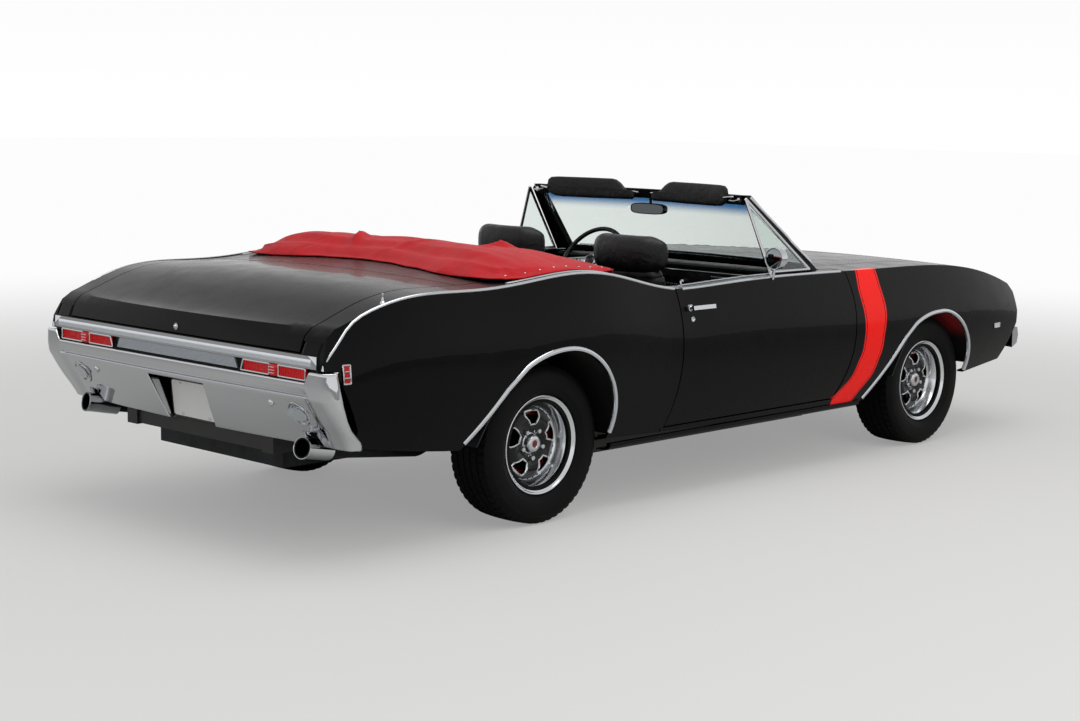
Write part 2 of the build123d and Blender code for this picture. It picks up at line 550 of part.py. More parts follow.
def front_structure(outer, inner, hood_cradle):
    """Bulkhead with cowl and hinge pillars, wheel liners, nose panel with its valance."""
    wall = block(-780, 780, FIREWALL_Y - SKIN, FIREWALL_Y, FLOOR_Z, 900)
    wall -= block(-TUNNEL_X + SKIN, TUNNEL_X - SKIN, -900, -700, 0, TUNNEL_Z - SKIN)
    pillar = block(760, FAR, -880, FIREWALL_Y - SKIN - 4, FLOOR_Z + 20, 900) & inner
    pillar += block(760, 800, -880, FIREWALL_Y, FLOOR_Z, 900)
    wall += both_sides(pillar)
    wall += block(-700, 700, HOOD_REAR_Y + PANEL_GAP, CABIN_FRONT_Y, 880, FAR) & (outer - inner)
    wall += block(-700, 700, HOOD_REAR_Y + PANEL_GAP, FIREWALL_Y, 890, 898)
    wall += block(-700, 700, FIREWALL_Y - SKIN, FIREWALL_Y, 890, FAR) & outer
    put("bulkhead", wall + hood_cradle)

    ring = rod((APRON_X, FRONT_AXLE_Y, AXLE_Z), (FAR, FRONT_AXLE_Y, AXLE_Z), LINER_RADIUS)
    ring -= rod((APRON_X, FRONT_AXLE_Y, AXLE_Z), (FAR, FRONT_AXLE_Y, AXLE_Z), LINER_RADIUS - 6)
    ring &= block(0, FAR, -2700, 0, AXLE_Z + 64, FAR)
    apron = block(APRON_X, APRON_X + SKIN, -1900, -1240, 395, 712)
    put("inner_fenders", both_sides((ring & inner) + apron))

    tray = outer & block(-634, 634, -2700, -2396, BUMPER_FRONT_TOP + 2, HOOD_LIP_Z - PANEL_GAP)
    tray -= block(-640, 640, -2700, -2404, OPENING_BOTTOM, OPENING_TOP)
    tray += (outer - inner) & block(-634, 634, -2700, -2300, 400, BUMPER_FRONT_TOP + 4)
    put("nose_panel", tray)


def face_y(x):
    """Where the nose face stands at mid height, x mm off the centre line."""
    return NOSE_CENTRE[3][0] + (NOSE_SIDE[3][0] - NOSE_CENTRE[3][0]) * (x / END_X) ** 2


def lamps_and_grille(outer):
    """Grille bars, two bezels, four round lamps with a parking lamp between each pair."""
    bars = block(-322, 322, -2482, -2466, OPENING_BOTTOM, OPENING_BOTTOM + 8)
    for k in range(1, 6):
        z = OPENING_BOTTOM + k * (OPENING_TOP - OPENING_BOTTOM - 8) / 5
        bars += block(-322, 322, -2482, -2466, z, z + 8)
    for x in (-322, -8, 306):
        bars += block(x, x + 16, -2486, -2462, OPENING_BOTTOM, OPENING_TOP)
    put("grille", bars)

    bezel = (body_form(18) - body_form(30)) & block(326, 796, -2700, -2300, OPENING_BOTTOM, OPENING_TOP)
    lenses = None
    for x in LAMP_X:
        y = face_y(x)
        lens = rod((x, y + 12, LAMP_Z), (x, y + 60, LAMP_Z), LAMP_RADIUS)
        bezel += rod((x, y + 14, LAMP_Z), (x, y + 56, LAMP_Z), LAMP_RADIUS + 6)
        bezel -= rod((x, y + 4, LAMP_Z), (x, y + 64, LAMP_Z), LAMP_RADIUS)
        lenses = lens if lenses is None else lenses + lens
    park_x = sum(LAMP_X) / 2
    y = face_y(park_x)
    park = block(park_x - 38, park_x + 38, y + 12, y + 44, LAMP_Z - 38, LAMP_Z + 38)
    bezel -= park
    put("headlamp_bezels", both_sides(bezel))
    put("headlamps", both_sides(lenses + park))


def windscreen_and_header():
    """Curved glass in its frame, visors standing on the header, inner mirror."""
    foot_z, head_z = 958, 1268
    glass = loft([bow_band(760, -590, -722, 6, foot_z), bow_band(668, -232, -322, 6, head_z)])
    frame = loft([bow_band(672, -244, -334, 44, head_z), bow_band(664, -214, -304, 40, head_z + 46)])
    frame += loft([bow_band(770, -604, -736, 34, foot_z - 6), bow_band(764, -588, -718, 26, foot_z + 22)])
    post = [Plane((796, -590, foot_z - 8)) * Rectangle(34, 44), Plane((676, -208, head_z + 46)) * Rectangle(30, 40)]
    frame += both_sides(loft(post))
    return glass, frame


def cabin(outer):
    """Dashboard with its column, seats, rear bench, steering wheel, glass and header fittings."""
    glass, frame = windscreen_and_header()
    frame -= outer
    glass = glass - frame - outer
    put("windscreen_frame", frame)
    put("windscreen", glass)
    visor = extrude(bow_band(586, -226, -306, 26, 1314.5), 43) - block(-45, 45, -500, 0, 1300, 1400)
    mirror_head = block(-110, 110, -328, -310, 1188, 1244) + rod((0, -319, 1240), (0, -288, 1276), 6)
    put("visors", visor)
    put("inner_mirror", mirror_head - frame)

    dash = side_polygon([(CABIN_FRONT_Y + 1, 700), (CABIN_FRONT_Y + 1, 940), (-520, 938), (-482, 915), (-500, 770),
                         (-560, 700)], -790, 790)
    dash += both_sides(block(560, 600, FIREWALL_Y, CABIN_FRONT_Y + 1, 780, 840))
    hub = Vector(*STEERING_HUB)
    axis = Vector(0, cos(radians(STEERING_RAKE)), sin(radians(STEERING_RAKE)))
    foot = hub - axis * 262
    dash += rod(tuple(foot), tuple(hub - axis * (20 + SEAT_GAP)), 24)
    put("dashboard", dash)

    spokes = Torus(195, 13) + Cylinder(44, 40)
    for angle in (0, 180, 270):
        spokes += Rot(0, 0, angle) * (Pos(110, 0, 0) * Box(150, 34, 8))
    put("steering_wheel", Plane(hub, x_dir=(1, 0, 0), z_dir=axis) * spokes)

    seat = side_polygon([(-235, SEAT_FOOT_Z), (-245, 470), (-200, 520), (90, 478), (150, 700), (225, 965), (335, 965),
                         (310, 700), (230, 330), (210, SEAT_FOOT_Z)], SEAT_X - 215, SEAT_X + 215)
    rest = side_polygon([(246, 965), (262, 1132), (338, 1132), (334, 965)], SEAT_X - 125, SEAT_X + 125)
    put("front_seats", both_sides(seat + rest))
    bench = side_polygon([(560, SEAT_FOOT_Z), (540, 590), (600, 622), (900, 560), (1000, 960), (1105, 968), (1080, 480),
                          (RISER_Y - 20, 480), (RISER_Y - 20, SEAT_FOOT_Z)], -HOUSING_X + 6, HOUSING_X - 6)
    bench -= block(-SHAFT_TUNNEL_X - 1, SHAFT_TUNNEL_X + 1, 500, RISER_Y, 0, SHAFT_TUNNEL_Z + SEAT_GAP)
    put("rear_seat", bench)


def soft_top_cover():
    """Fitted cover over the folded roof, lying on the body around the well."""
    faces = []
    # columns: y, half width, edge z, crest z
    for y, half, edge_z, crest_z in ((872, 818, 1034, 1074), (1100, 850, 1046, 1100), (1330, 858, 1062, 1134),
                                     (1490, 850, 1058, 1116), (1612, 800, 1046, 1066)):
        outline = Line((-half, 980), (half, 980)) + Line((half, 980), (half, edge_z))
        outline += ThreePointArc((half, edge_z), (0, crest_z), (-half, edge_z))
        outline += Line((-half, edge_z), (-half, 980))
        plane = Plane((0, y, 0), x_dir=(1, 0, 0), z_dir=(0, -1, 0))
        faces.append(plane * make_face(outline))
    put("top_cover", loft(faces) - body_form(-SEAT_GAP))


def door_brightwork():
    """Vent window frame and round mirror on each door, with the vent glass."""
    front_foot, top, rear_foot = VENT
    frame = rod(front_foot, top, 8) + rod(rear_foot, top, 8) + (Pos(*top) * Sphere(8)) + rod(front_foot, rear_foot, 8)
    head = Vector(*MIRROR)
    frame += rod((900, MIRROR[1], 940), MIRROR, 7)
    frame += rod(head - Vector(0, 14, 0), head + Vector(0, 14, 0), 52)
    frame += rod(rear_foot, (900, MIRROR[1], 952), 7)
    corners = [Vector(*point) for point in VENT]
    plane = Plane(corners[0], x_dir=corners[2] - corners[0], z_dir=(corners[2] - corners[0]).cross(corners[1] - corners[0]))
    face = make_face(Polyline(*corners, close=True))
    glass = extrude(face, 2.5, both=True, dir=plane.z_dir) - frame
    return frame, glass


def main():
    """Build and write every piece."""
    os.makedirs("parts", exist_ok=True)
    wheels()
    outer, hood_cradle = panels()
    inner = body_form(SKIN)
    floors(outer, inner)
    front_structure(outer, inner, hood_cradle)
    lamps_and_grille(outer)
    cabin(outer)
    soft_top_cover()
    frame, vent_glass = door_brightwork()
    frame -= outer
    put_pair("vent_frame", frame)
    put_pair("vent_glass", vent_glass - outer)
    bumper_front(outer)
    chassis()
    running_gear()
    engine_and_pipes()


main()
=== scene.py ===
"""An open two-door performance car of about 1970, gloss black, with its soft top folded under a red cover."""
from math import atan2, copysign, cos, pi, radians, sin, sqrt

import bmesh
import bpy
from mathutils import Matrix, Vector
from mathutils.bvhtree import BVHTree


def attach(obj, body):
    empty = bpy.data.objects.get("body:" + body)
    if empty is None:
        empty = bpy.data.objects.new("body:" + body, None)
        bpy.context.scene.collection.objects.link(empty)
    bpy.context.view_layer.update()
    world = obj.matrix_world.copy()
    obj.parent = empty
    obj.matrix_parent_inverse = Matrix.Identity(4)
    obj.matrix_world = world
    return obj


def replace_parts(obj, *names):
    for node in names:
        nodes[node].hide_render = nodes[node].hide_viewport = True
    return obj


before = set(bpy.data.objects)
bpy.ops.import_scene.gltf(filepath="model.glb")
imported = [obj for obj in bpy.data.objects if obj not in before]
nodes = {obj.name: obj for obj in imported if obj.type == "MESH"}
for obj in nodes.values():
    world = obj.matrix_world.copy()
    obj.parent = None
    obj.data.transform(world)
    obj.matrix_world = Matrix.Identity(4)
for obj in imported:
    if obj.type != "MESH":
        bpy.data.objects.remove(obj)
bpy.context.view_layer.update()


# ---- studio: camera, floor, sky and lamps ----
# A pale floor under a soft white sky, with two large lamps. The sky is a little
# darker overhead, so that polished metal shows a horizon in it.
def linear(hex_colour, alpha=1.0):
    """An sRGB hex colour as the linear values that a node takes."""
    parts = [int(hex_colour[k:k + 2], 16) / 255 for k in (1, 3, 5)]
    return [c / 12.92 if c <= 0.04045 else ((c + 0.055) / 1.055) ** 2.4 for c in parts] + [alpha]


def add(tree, kind, inputs=None, **settings):
    """One node: settings are its own, inputs are values or sockets to link, by name or number."""
    made = tree.nodes.new(kind)
    for name, value in settings.items():
        setattr(made, name, value)
    for key, value in (inputs or {}).items():
        if isinstance(value, bpy.types.NodeSocket):
            tree.links.new(value, made.inputs[key])
        else:
            made.inputs[key].default_value = value
    return made


def maths(tree, operation, *values):
    """The result of one sum on values or sockets."""
    return add(tree, "ShaderNodeMath", dict(enumerate(values)), operation=operation).outputs[0]


def carried(tree, value, low, high, least=0.0, most=1.0, **settings):
    """A value carried from one range to another, and held at both ends."""
    return add(tree, "ShaderNodeMapRange", {0: value, 1: low, 2: high, 3: least, 4: most},
               **settings).outputs[0]


def placed(name, data):
    """A new object in the scene."""
    made = bpy.data.objects.new(name, data)
    bpy.context.scene.collection.objects.link(made)
    return made


camera_data = bpy.data.cameras.new("camera")
camera_data.sensor_width = 36.0
camera_data.lens = 36.0 * 1904.7 / 1080
camera_data.clip_end = 100.0
camera = placed("camera", camera_data)
yaw, pitch, roll = 2.3747, -0.1356, 0.0156
ahead = Vector((cos(pitch) * sin(yaw), cos(pitch) * cos(yaw), sin(pitch)))
level = Vector((cos(yaw), -sin(yaw), 0.0))
above = level.cross(ahead)
across = cos(roll) * level + sin(roll) * above
upward = -sin(roll) * level + cos(roll) * above
turned = Matrix((across, upward, -ahead)).transposed().to_4x4()
camera.matrix_world = Matrix.Translation((-6.2114, 6.9103, 1.7402)) @ turned
bpy.context.scene.camera = camera
bpy.context.scene.view_settings.view_transform = "Standard"

floor_mesh = bpy.data.meshes.new("floor")
floor_mesh.from_pydata([(-60, -60, 0), (60, -60, 0), (60, 60, 0), (-60, 60, 0)], [], [(0, 1, 2, 3)])
floor = placed("floor", floor_mesh)
floor_paint = bpy.data.materials.new("pale_studio_floor")
floor_paint.use_nodes = True
tree = floor_paint.node_tree
shader = tree.nodes["Principled BSDF"]
shader.inputs["Base Color"].default_value = linear("#b9b8b4")
shader.inputs["Roughness"].default_value = 0.75
# the camera sees the floor fade to the sky's white a few metres from the car
spot = add(tree, "ShaderNodeNewGeometry")
far_off = add(tree, "ShaderNodeVectorMath", {0: spot.outputs["Position"]}, operation="LENGTH")
fade = carried(tree, far_off.outputs["Value"], 2.5, 11.0, 0.30, 1.0, interpolation_type="SMOOTHSTEP")
rays = add(tree, "ShaderNodeLightPath").outputs
seen = maths(tree, "MAXIMUM", rays["Is Camera Ray"], rays["Is Transmission Ray"])
share = maths(tree, "MULTIPLY", fade, seen)
paper = add(tree, "ShaderNodeEmission", {"Color": linear("#ffffff"), "Strength": 0.98})
mixed = add(tree, "ShaderNodeMixShader", {0: share, 1: shader.outputs[0], 2: paper.outputs[0]})
tree.links.new(mixed.outputs[0], tree.nodes["Material Output"].inputs["Surface"])
floor_mesh.materials.append(floor_paint)

sky = bpy.data.worlds.new("sky")
sky.use_nodes = True
bpy.context.scene.world = sky
tree = sky.node_tree
tree.nodes.clear()
rays = add(tree, "ShaderNodeLightPath").outputs
seen = maths(tree, "MAXIMUM", rays["Is Camera Ray"], rays["Is Transmission Ray"])
seen = maths(tree, "MAXIMUM", seen, rays["Is Glossy Ray"])
way = add(tree, "ShaderNodeNewGeometry")
height = add(tree, "ShaderNodeSeparateXYZ", {0: way.outputs["Incoming"]})
shade = carried(tree, height.outputs["Z"], 0.0, -1.0, 1.0, 0.5)
bright = add(tree, "ShaderNodeBackground", {"Color": linear("#ffffff"), "Strength": shade})
fill = add(tree, "ShaderNodeBackground", {"Color": linear("#f4f6fa"), "Strength": 0.62})
both = add(tree, "ShaderNodeMixShader", {0: seen, 1: fill.outputs[0], 2: bright.outputs[0]})
add(tree, "ShaderNodeOutputWorld", {0: both.outputs[0]})

for name, place, size, power in (("lamp_over", (-1.5, 1.0, 6.5), 6.0, 260),
                                 ("lamp_side", (-7.0, 1.0, 4.0), 5.0, 150)):
    lamp = bpy.data.lights.new(name, "AREA")
    lamp.size = size
    lamp.energy = power
    holder = placed(name, lamp)
    holder.matrix_world = Matrix.Translation(place) @ (-Vector(place)).to_track_quat("-Z", "Y").to_matrix().to_4x4()
    holder.visible_glossy = name == "lamp_over"


# ---- painted shell ----
# Pressed steel panels in black enamel under clear lacquer, rubbed and polished.
# A red band with thin dark lines just inside its edges is painted on each front fender.
def new_material(name, colour, roughness, metallic=0.0):
    """A named material, its node tree and its shader."""
    made = bpy.data.materials.new(name)
    made.use_nodes = True
    shader = made.node_tree.nodes["Principled BSDF"]
    shader.inputs["Base Color"].default_value = linear(colour)
    shader.inputs["Roughness"].default_value = roughness
    shader.inputs["Metallic"].default_value = metallic
    return made, made.node_tree, shader


def dress(material, *names):
    """Puts a material on CAD nodes, and smooths their shading up to the panel edges."""
    for name in names:
        node = nodes[name]
        for slot in node.material_slots:
            slot.material = material
        if "weld" not in node.modifiers:
            for face in node.data.polygons:
                face.use_smooth = True
            node.modifiers.new("weld", "WELD").merge_threshold = 0.00002
            node.modifiers.new("edges", "EDGE_SPLIT").split_angle = radians(28)


def relief(tree, shader, height, depth=1.0, strength=1.0):
    """Raises the surface by a height pattern, whose full depth is in metres."""
    bump = add(tree, "ShaderNodeBump", {"Height": height, "Distance": depth, "Strength": strength})
    tree.links.new(bump.outputs[0], shader.inputs["Normal"])


def clouds(tree, where, per_metre, detail, **inputs):
    """Uneven noise from 0 to 1, fixed to the piece."""
    return add(tree, "ShaderNodeTexNoise", {"Vector": where.outputs["Object"], "Scale": per_metre,
                                            "Detail": detail, **inputs}).outputs["Fac"]


def bumps(tree, shader, per_metre, depth, detail=3.0, roughness=0.6):
    """A fine uneven surface: bumps per metre, and their depth in metres. Returns where the pattern lies."""
    where = add(tree, "ShaderNodeTexCoord")
    relief(tree, shader, clouds(tree, where, per_metre, detail, Roughness=roughness), depth)
    return where


def tinted(tree, shader, share, low, high):
    """Colours the surface between two hex colours, by a share from 0 to 1."""
    mix = add(tree, "ShaderNodeMix", {0: share, 6: linear(low), 7: linear(high)}, data_type="RGBA")
    tree.links.new(mix.outputs[2], shader.inputs["Base Color"])


def lacquer(tree, shader):
    """Clear coat over the colour, with a wax haze that varies over a hand's breadth."""
    shader.inputs["Coat Weight"].default_value = 0.22
    shader.inputs["Coat Roughness"].default_value = 0.015
    shader.inputs["Coat IOR"].default_value = 1.32
    shader.inputs["Specular IOR Level"].default_value = 0.06
    where = bumps(tree, shader, 240, 0.000008)
    haze = carried(tree, clouds(tree, where, 9.0, 5.0), 0.3, 0.7, 0.2, 0.32)
    tree.links.new(haze, shader.inputs["Roughness"])
    return where


black_enamel, tree, shader = new_material("black_enamel_on_steel", "#020203", 0.2)
lacquer(tree, shader)
dress(black_enamel, "door_left", "door_right", "quarter_left", "quarter_right", "hood", "trunk_lid",
      "deck_panel",
      "tail_panel", "bulkhead", "nose_panel")

banded_enamel, tree, shader = new_material("black_enamel_with_red_band", "#020203", 0.2)
where = lacquer(tree, shader)
point = add(tree, "ShaderNodeSeparateXYZ", {0: where.outputs["Object"]})
# height of each measured point of the band, with its rear and its front edge, in mm
BAND = ((305, -601, -816), (408, -728, -916), (520, -800, -975), (630, -831, -1003), (740, -830, -1021),
        (850, -806, -999), (945, -815, -990))
rise = carried(tree, point.outputs["Z"], BAND[0][0] / 1000, BAND[-1][0] / 1000)
inside = None
for column, sign in ((1, 1), (2, -1)):
    ramp = add(tree, "ShaderNodeValToRGB", {0: rise})
    ramp.color_ramp.interpolation = "CARDINAL"
    stops = ramp.color_ramp.elements
    while len(stops) < len(BAND):
        stops.new(0.5)
    for stop, row in zip(stops, BAND):
        stop.position = (row[0] - BAND[0][0]) / (BAND[-1][0] - BAND[0][0])
        level = (row[column] + 1100) / 600
        stop.color = (level, level, level, 1.0)
    edge = carried(tree, ramp.outputs["Color"], 0.0, 1.0, -1.1, -0.5)
    reach = maths(tree, "MULTIPLY", maths(tree, "SUBTRACT", edge, point.outputs["Y"]), float(sign))
    inside = reach if inside is None else maths(tree, "MINIMUM", inside, reach)
band = carried(tree, inside, 0.0, 0.0012)
line = maths(tree, "COMPARE", inside, 0.013, 0.0026)
band = maths(tree, "MULTIPLY", band, maths(tree, "SUBTRACT", 1.0, line))
# the band ends just inside the fender's crest
crest = carried(tree, maths(tree, "ABSOLUTE", point.outputs["X"]), 0.852, 0.854)
tinted(tree, shader, maths(tree, "MULTIPLY", band, crest), "#020203", "#f21a14")
dress(banded_enamel, "fender_left", "fender_right")


# ---- wheel opening mouldings ----
# Polished stainless strip, rolled to a soft D and screwed round each wheel opening's lip.
# It follows the painted skin, so each point is laid on the skin from outside.
class Workpiece:
    """Gathers the surfaces of one piece, each with its material, and turns them into an object."""

    def __init__(self, name, *materials):
        self.name, self.materials = name, materials
        self.points, self.faces, self.finish = [], [], []

    def lay(self, points, faces, finish=0):
        """Adds points and faces, all in one of the materials."""
        start = len(self.points)
        self.points += [tuple(point) for point in points]
        self.faces += [tuple(start + k for k in face) for face in faces]
        self.finish += [finish] * len(faces)

    def skin(self, rows, finish=0, around=False, along=False, caps=False):
        """Faces between rows of points; around joins each row's ends, along joins the last row to the first."""
        count, width = len(rows), len(rows[0])
        faces = []
        for i in range(count if along else count - 1):
            for j in range(width if around else width - 1):
                a, b = i * width, ((i + 1) % count) * width
                k = (j + 1) % width
                faces.append((a + j, a + k, b + k, b + j))
        if caps:
            faces += [tuple(range(width))[::-1], tuple((count - 1) * width + j for j in range(width))]
        self.lay([point for row in rows for point in row], faces, finish)

    def turn(self, outline, centre, axis, finish=0, steps=96, across=None):
        """An outline of (out, radius) pairs turned about an axis through centre."""
        axis = Vector(axis).normalized()
        first = Vector(across) if across else axis.orthogonal().normalized()
        second = axis.cross(first)
        rows = []
        for k in range(steps):
            spoke = cos(2 * pi * k / steps) * first + sin(2 * pi * k / steps) * second
            rows.append([Vector(centre) + axis * out + spoke * radius for out, radius in outline])
        self.skin(rows, finish, along=True)

    def rod(self, path, radius, finish=0, sides=10, closed=False, upright=None, flat=1.0):
        """A round bar along a path of points, or one flattened across the upright direction."""
        rows, count = [], len(path)
        for k, point in enumerate(path):
            before = path[(k - 1) % count] if closed or k else point
            after = path[(k + 1) % count] if closed or k < count - 1 else point
            ahead = (Vector(after) - Vector(before)).normalized()
            up = Vector(upright or ((0, 0, 1) if abs(ahead.z) < 0.9 else (0, 1, 0)))
            side = ahead.cross(up).normalized()
            up = side.cross(ahead).normalized()
            rows.append([Vector(point) + (cos(2 * pi * j / sides) * side + sin(2 * pi * j / sides) * up * flat)
                         * radius
                         for j in range(sides)])
        self.skin(rows, finish, around=True, along=closed, caps=not closed)

    def block(self, low, high, finish=0):
        """A box from its lowest to its highest corner."""
        (a, b, c), (d, e, f) = low, high
        self.lay([(a, b, c), (d, b, c), (d, e, c), (a, e, c), (a, b, f), (d, b, f), (d, e, f), (a, e, f)],
                 [(0, 3, 2, 1), (4, 5, 6, 7), (0, 1, 5, 4), (1, 2, 6, 5), (2, 3, 7, 6), (3, 0, 4, 7)], finish)

    def mirrored(self, name):
        """The same piece on the car's other side."""
        other = Workpiece(name, *self.materials)
        other.points = [(-x, y, z) for x, y, z in self.points]
        other.faces = [face[::-1] for face in self.faces]
        other.finish = list(self.finish)
        return other

    def make(self, body, sharp=38, bevel=0.0):
        """The finished object, riding on its body."""
        mesh = bpy.data.meshes.new(self.name)
        mesh.from_pydata(self.points, [], self.faces)
        for material in self.materials:
            mesh.materials.append(material)
        mesh.polygons.foreach_set("material_index", self.finish)
        shape = bmesh.new()
        shape.from_mesh(mesh)
        bmesh.ops.remove_doubles(shape, verts=shape.verts, dist=0.00001)
        bmesh.ops.recalc_face_normals(shape, faces=shape.faces)
        shape.to_mesh(mesh)
        shape.free()
        mesh.polygons.foreach_set("use_smooth", [True] * len(mesh.polygons))
        mesh.set_sharp_from_angle(angle=radians(sharp))
        made = placed(self.name, mesh)
        if bevel:
            edge = made.modifiers.new("edge", "BEVEL")
            edge.width, edge.segments, edge.limit_method = bevel, 2, "ANGLE"
        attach(made, body)
        return made


def surface_of(*names):
    """A tree of the faces of some CAD nodes, to lay points on."""
    points, faces = [], []
    for name in names:
        start = len(points)
        points += [v.co.copy() for v in nodes[name].data.vertices]
        faces += [tuple(start + k for k in face.vertices) for face in nodes[name].data.polygons]
    return BVHTree.FromPolygons(points, faces)


# clear of the car: beside it, behind it and over its deck
BESIDE, BEHIND, OVERHEAD = 1.3, 3.0, 1.4


def meet(surface, start, way):
    """Where a ray first meets a surface, or None."""
    return surface.ray_cast(Vector(start), Vector(way))[0]


def sided(points, sign):
    """The points, or their mirror image when sign is -1."""
    return [Vector((sign * p.x, p.y, p.z)) for p in points]


def surfaced(name, colour, roughness, metallic, per_metre, depth, detail=3.0, specular=None):
    """A material of one colour with a fine uneven surface."""
    made, tree, shader = new_material(name, colour, roughness, metallic)
    if specular is not None:
        shader.inputs["Specular IOR Level"].default_value = specular
    bumps(tree, shader, per_metre, depth, detail)
    return made


def arc(start, middle, end, count):
    """Points of the arc through three (y, z) points."""
    (ax, ay), (bx, by), (cx, cy) = start, middle, end
    d = 2 * (ax * (by - cy) + bx * (cy - ay) + cx * (ay - by))
    ux = ((ax * ax + ay * ay) * (by - cy) + (bx * bx + by * by) * (cy - ay) + (cx * cx + cy * cy)
          * (ay - by)) / d
    uy = ((ax * ax + ay * ay) * (cx - bx) + (bx * bx + by * by) * (ax - cx) + (cx * cx + cy * cy)
          * (bx - ax)) / d
    radius = sqrt((ax - ux) ** 2 + (ay - uy) ** 2)
    first, mid, last = (atan2(y - uy, x - ux) for x, y in (start, middle, end))
    turn = (last - first) % (2 * pi)
    if (mid - first) % (2 * pi) > turn:
        turn -= 2 * pi
    return [(ux + radius * cos(first + turn * k / count), uy + radius * sin(first + turn * k / count))
            for k in range(count + 1)]


stainless = surfaced("polished_stainless_strip", "#cfd2d6", 0.09, 1.0, 90, 0.00001)
body_side = surface_of("fender_left", "quarter_left", "door_left", "floor_pan")


def on_side(y, z):
    """The skin's point and its outward direction at a place in the side view, on the left side."""
    hit, facing, _, _ = body_side.ray_cast(Vector((BESIDE, y, z)), Vector((-1, 0, 0)))
    if hit is None or hit.x < 0.7:
        return None, None
    return hit, facing if facing.x > 0 else -facing


HUB_HEIGHT = 0.332
# each opening's edge in the side view: foot, top of the straight part, a point between, crest, bulge, toe
OPENINGS = {
    "front": ((-0.880, 0.276), (-1.222, 0.613), (-1.360, 0.672), (-1.510, 0.692), (-1.752, 0.606),
              (-1.844, 0.340)),
    "rear": ((1.880, 0.330), (1.591, 0.644), (1.452, 0.710), (1.290, 0.733), (1.054, 0.625), (0.985, 0.330)),
}
for place, (foot, rise, middle, crest, bulge, toe) in OPENINGS.items():
    line = [tuple(Vector(foot).lerp(Vector(rise), k / 14)) for k in range(14)]
    line += arc(rise, middle, crest, 14)[:-1] + arc(crest, bulge, toe, 26)
    line = [Vector(point) for point in line]
    # the screwed-on strip eases round the corner where the straight part meets the curve
    for _ in range(4):
        for k in range(11, 18):
            line[k] = (line[k - 1] + line[k] * 2 + line[k + 1]) / 4
    moulding = Workpiece(f"opening_moulding_{place}_left", stainless)
    hub = Vector((sum(p.x for p in line) / len(line), HUB_HEIGHT))
    rows = []
    for k, point in enumerate(line):
        ahead = (line[min(k + 1, len(line) - 1)] - line[max(k - 1, 0)]).normalized()
        away = Vector((-ahead.y, ahead.x))
        if (point + away * 0.05 - hub).length < (point - hub).length:
            away = -away
        row = []
        # across the strip: how far from the opening's edge, how far proud of the skin
        for reach, proud in ((-0.0015, -0.012), (-0.0015, 0.0005), (0.001, 0.0045), (0.006, 0.0062),
                             (0.012, 0.0055), (0.0165, 0.003), (0.019, -0.001)):
            spot = point + away * max(reach, 0.0012)
            hit, facing = on_side(spot.x, spot.y)
            if hit is None:
                row = None
                break
            place_at = Vector((hit.x, (point + away * reach).x, (point + away * reach).y))
            row.append(place_at + facing * proud)
        if row:
            rows.append(row)
    moulding.skin(rows)
    moulding.mirrored(f"opening_moulding_{place}_right").make("body")
    moulding.make("body")


# ---- tyres ----
# Radial tyres of black rubber, 235 wide on 15 inch rims, moulded with five tread ribs,
# cross cuts and plain side walls. The rubber is near black, with a little dust on it.
HALF_TRACK = 0.7495
TYRE_RADIUS = 0.332
HUBS = {f"{end}_{side}": (sign * HALF_TRACK, y, HUB_HEIGHT, sign)
        for end, y in (("front", -1.515), ("rear", 1.330))
        for side, sign in (("left", 1), ("right", -1))}
TYRE_STEPS = 216
rubber, tree, shader = new_material("tyre_rubber", "#050505", 0.6)
shader.inputs["Specular IOR Level"].default_value = 0.12
where = bumps(tree, shader, 900, 0.00012, 4.0, 0.7)
dust = clouds(tree, where, 14.0, 6.0)
tinted(tree, shader, dust, "#030303", "#0b0a0a")


def tyre_radius(out, step):
    """Tread radius at a distance across the tyre and a step round it."""
    rib = abs(out) / 0.0385
    crown = TYRE_RADIUS - 0.0035 * (abs(out) / 0.092) ** 2.4
    if abs(rib - 0.5) < 0.085 or abs(rib - 1.42) < 0.085:
        return crown - 0.0075
    phase = (step + int(rib + 0.5) * 2 + (1 if out > 0 else 0)) % 4
    if phase == 0 and (rib > 1.5 or abs(rib - 0.95) < 0.3 or rib < 0.22):
        return crown - 0.0052
    return crown


for spot, (x, y, z, _) in HUBS.items():
    tyre = Workpiece(f"tyre_rubber_{spot}", rubber)
    wall = [(0.0885, 0.176), (0.0925, 0.2105), (0.0985, 0.2125), (0.1035, 0.2165), (0.1085, 0.226),
            (0.1125, 0.238), (0.1135, 0.2395), (0.1150, 0.2405), (0.1172, 0.256), (0.1178, 0.270),
            (0.1172, 0.283), (0.1150, 0.2955), (0.1160, 0.2975), (0.1150, 0.2995), (0.1120, 0.3075),
            (0.1078, 0.3145), (0.1040, 0.3185)]
    crossing = [0.0985, 0.092, 0.080, 0.068, 0.0592, 0.0578, 0.0516, 0.0502, 0.040, 0.030, 0.0232, 0.0220,
                0.0163, 0.0151, 0.0075]
    crossing = crossing + [0.0] + [-v for v in reversed(crossing)]
    rows = []
    for k in range(TYRE_STEPS):
        angle = 2 * pi * k / TYRE_STEPS
        ring = wall + [(out, tyre_radius(out, k)) for out in crossing]
        ring += [(-out, radius) for out, radius in reversed(wall)]
        rows.append([(x + out, y + radius * cos(angle), z + radius * sin(angle)) for out, radius in ring])
    tyre.skin(rows, around=True, along=True)
    made = tyre.make(f"wheel_{spot}", sharp=32)
    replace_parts(made, f"tyre_{spot}")

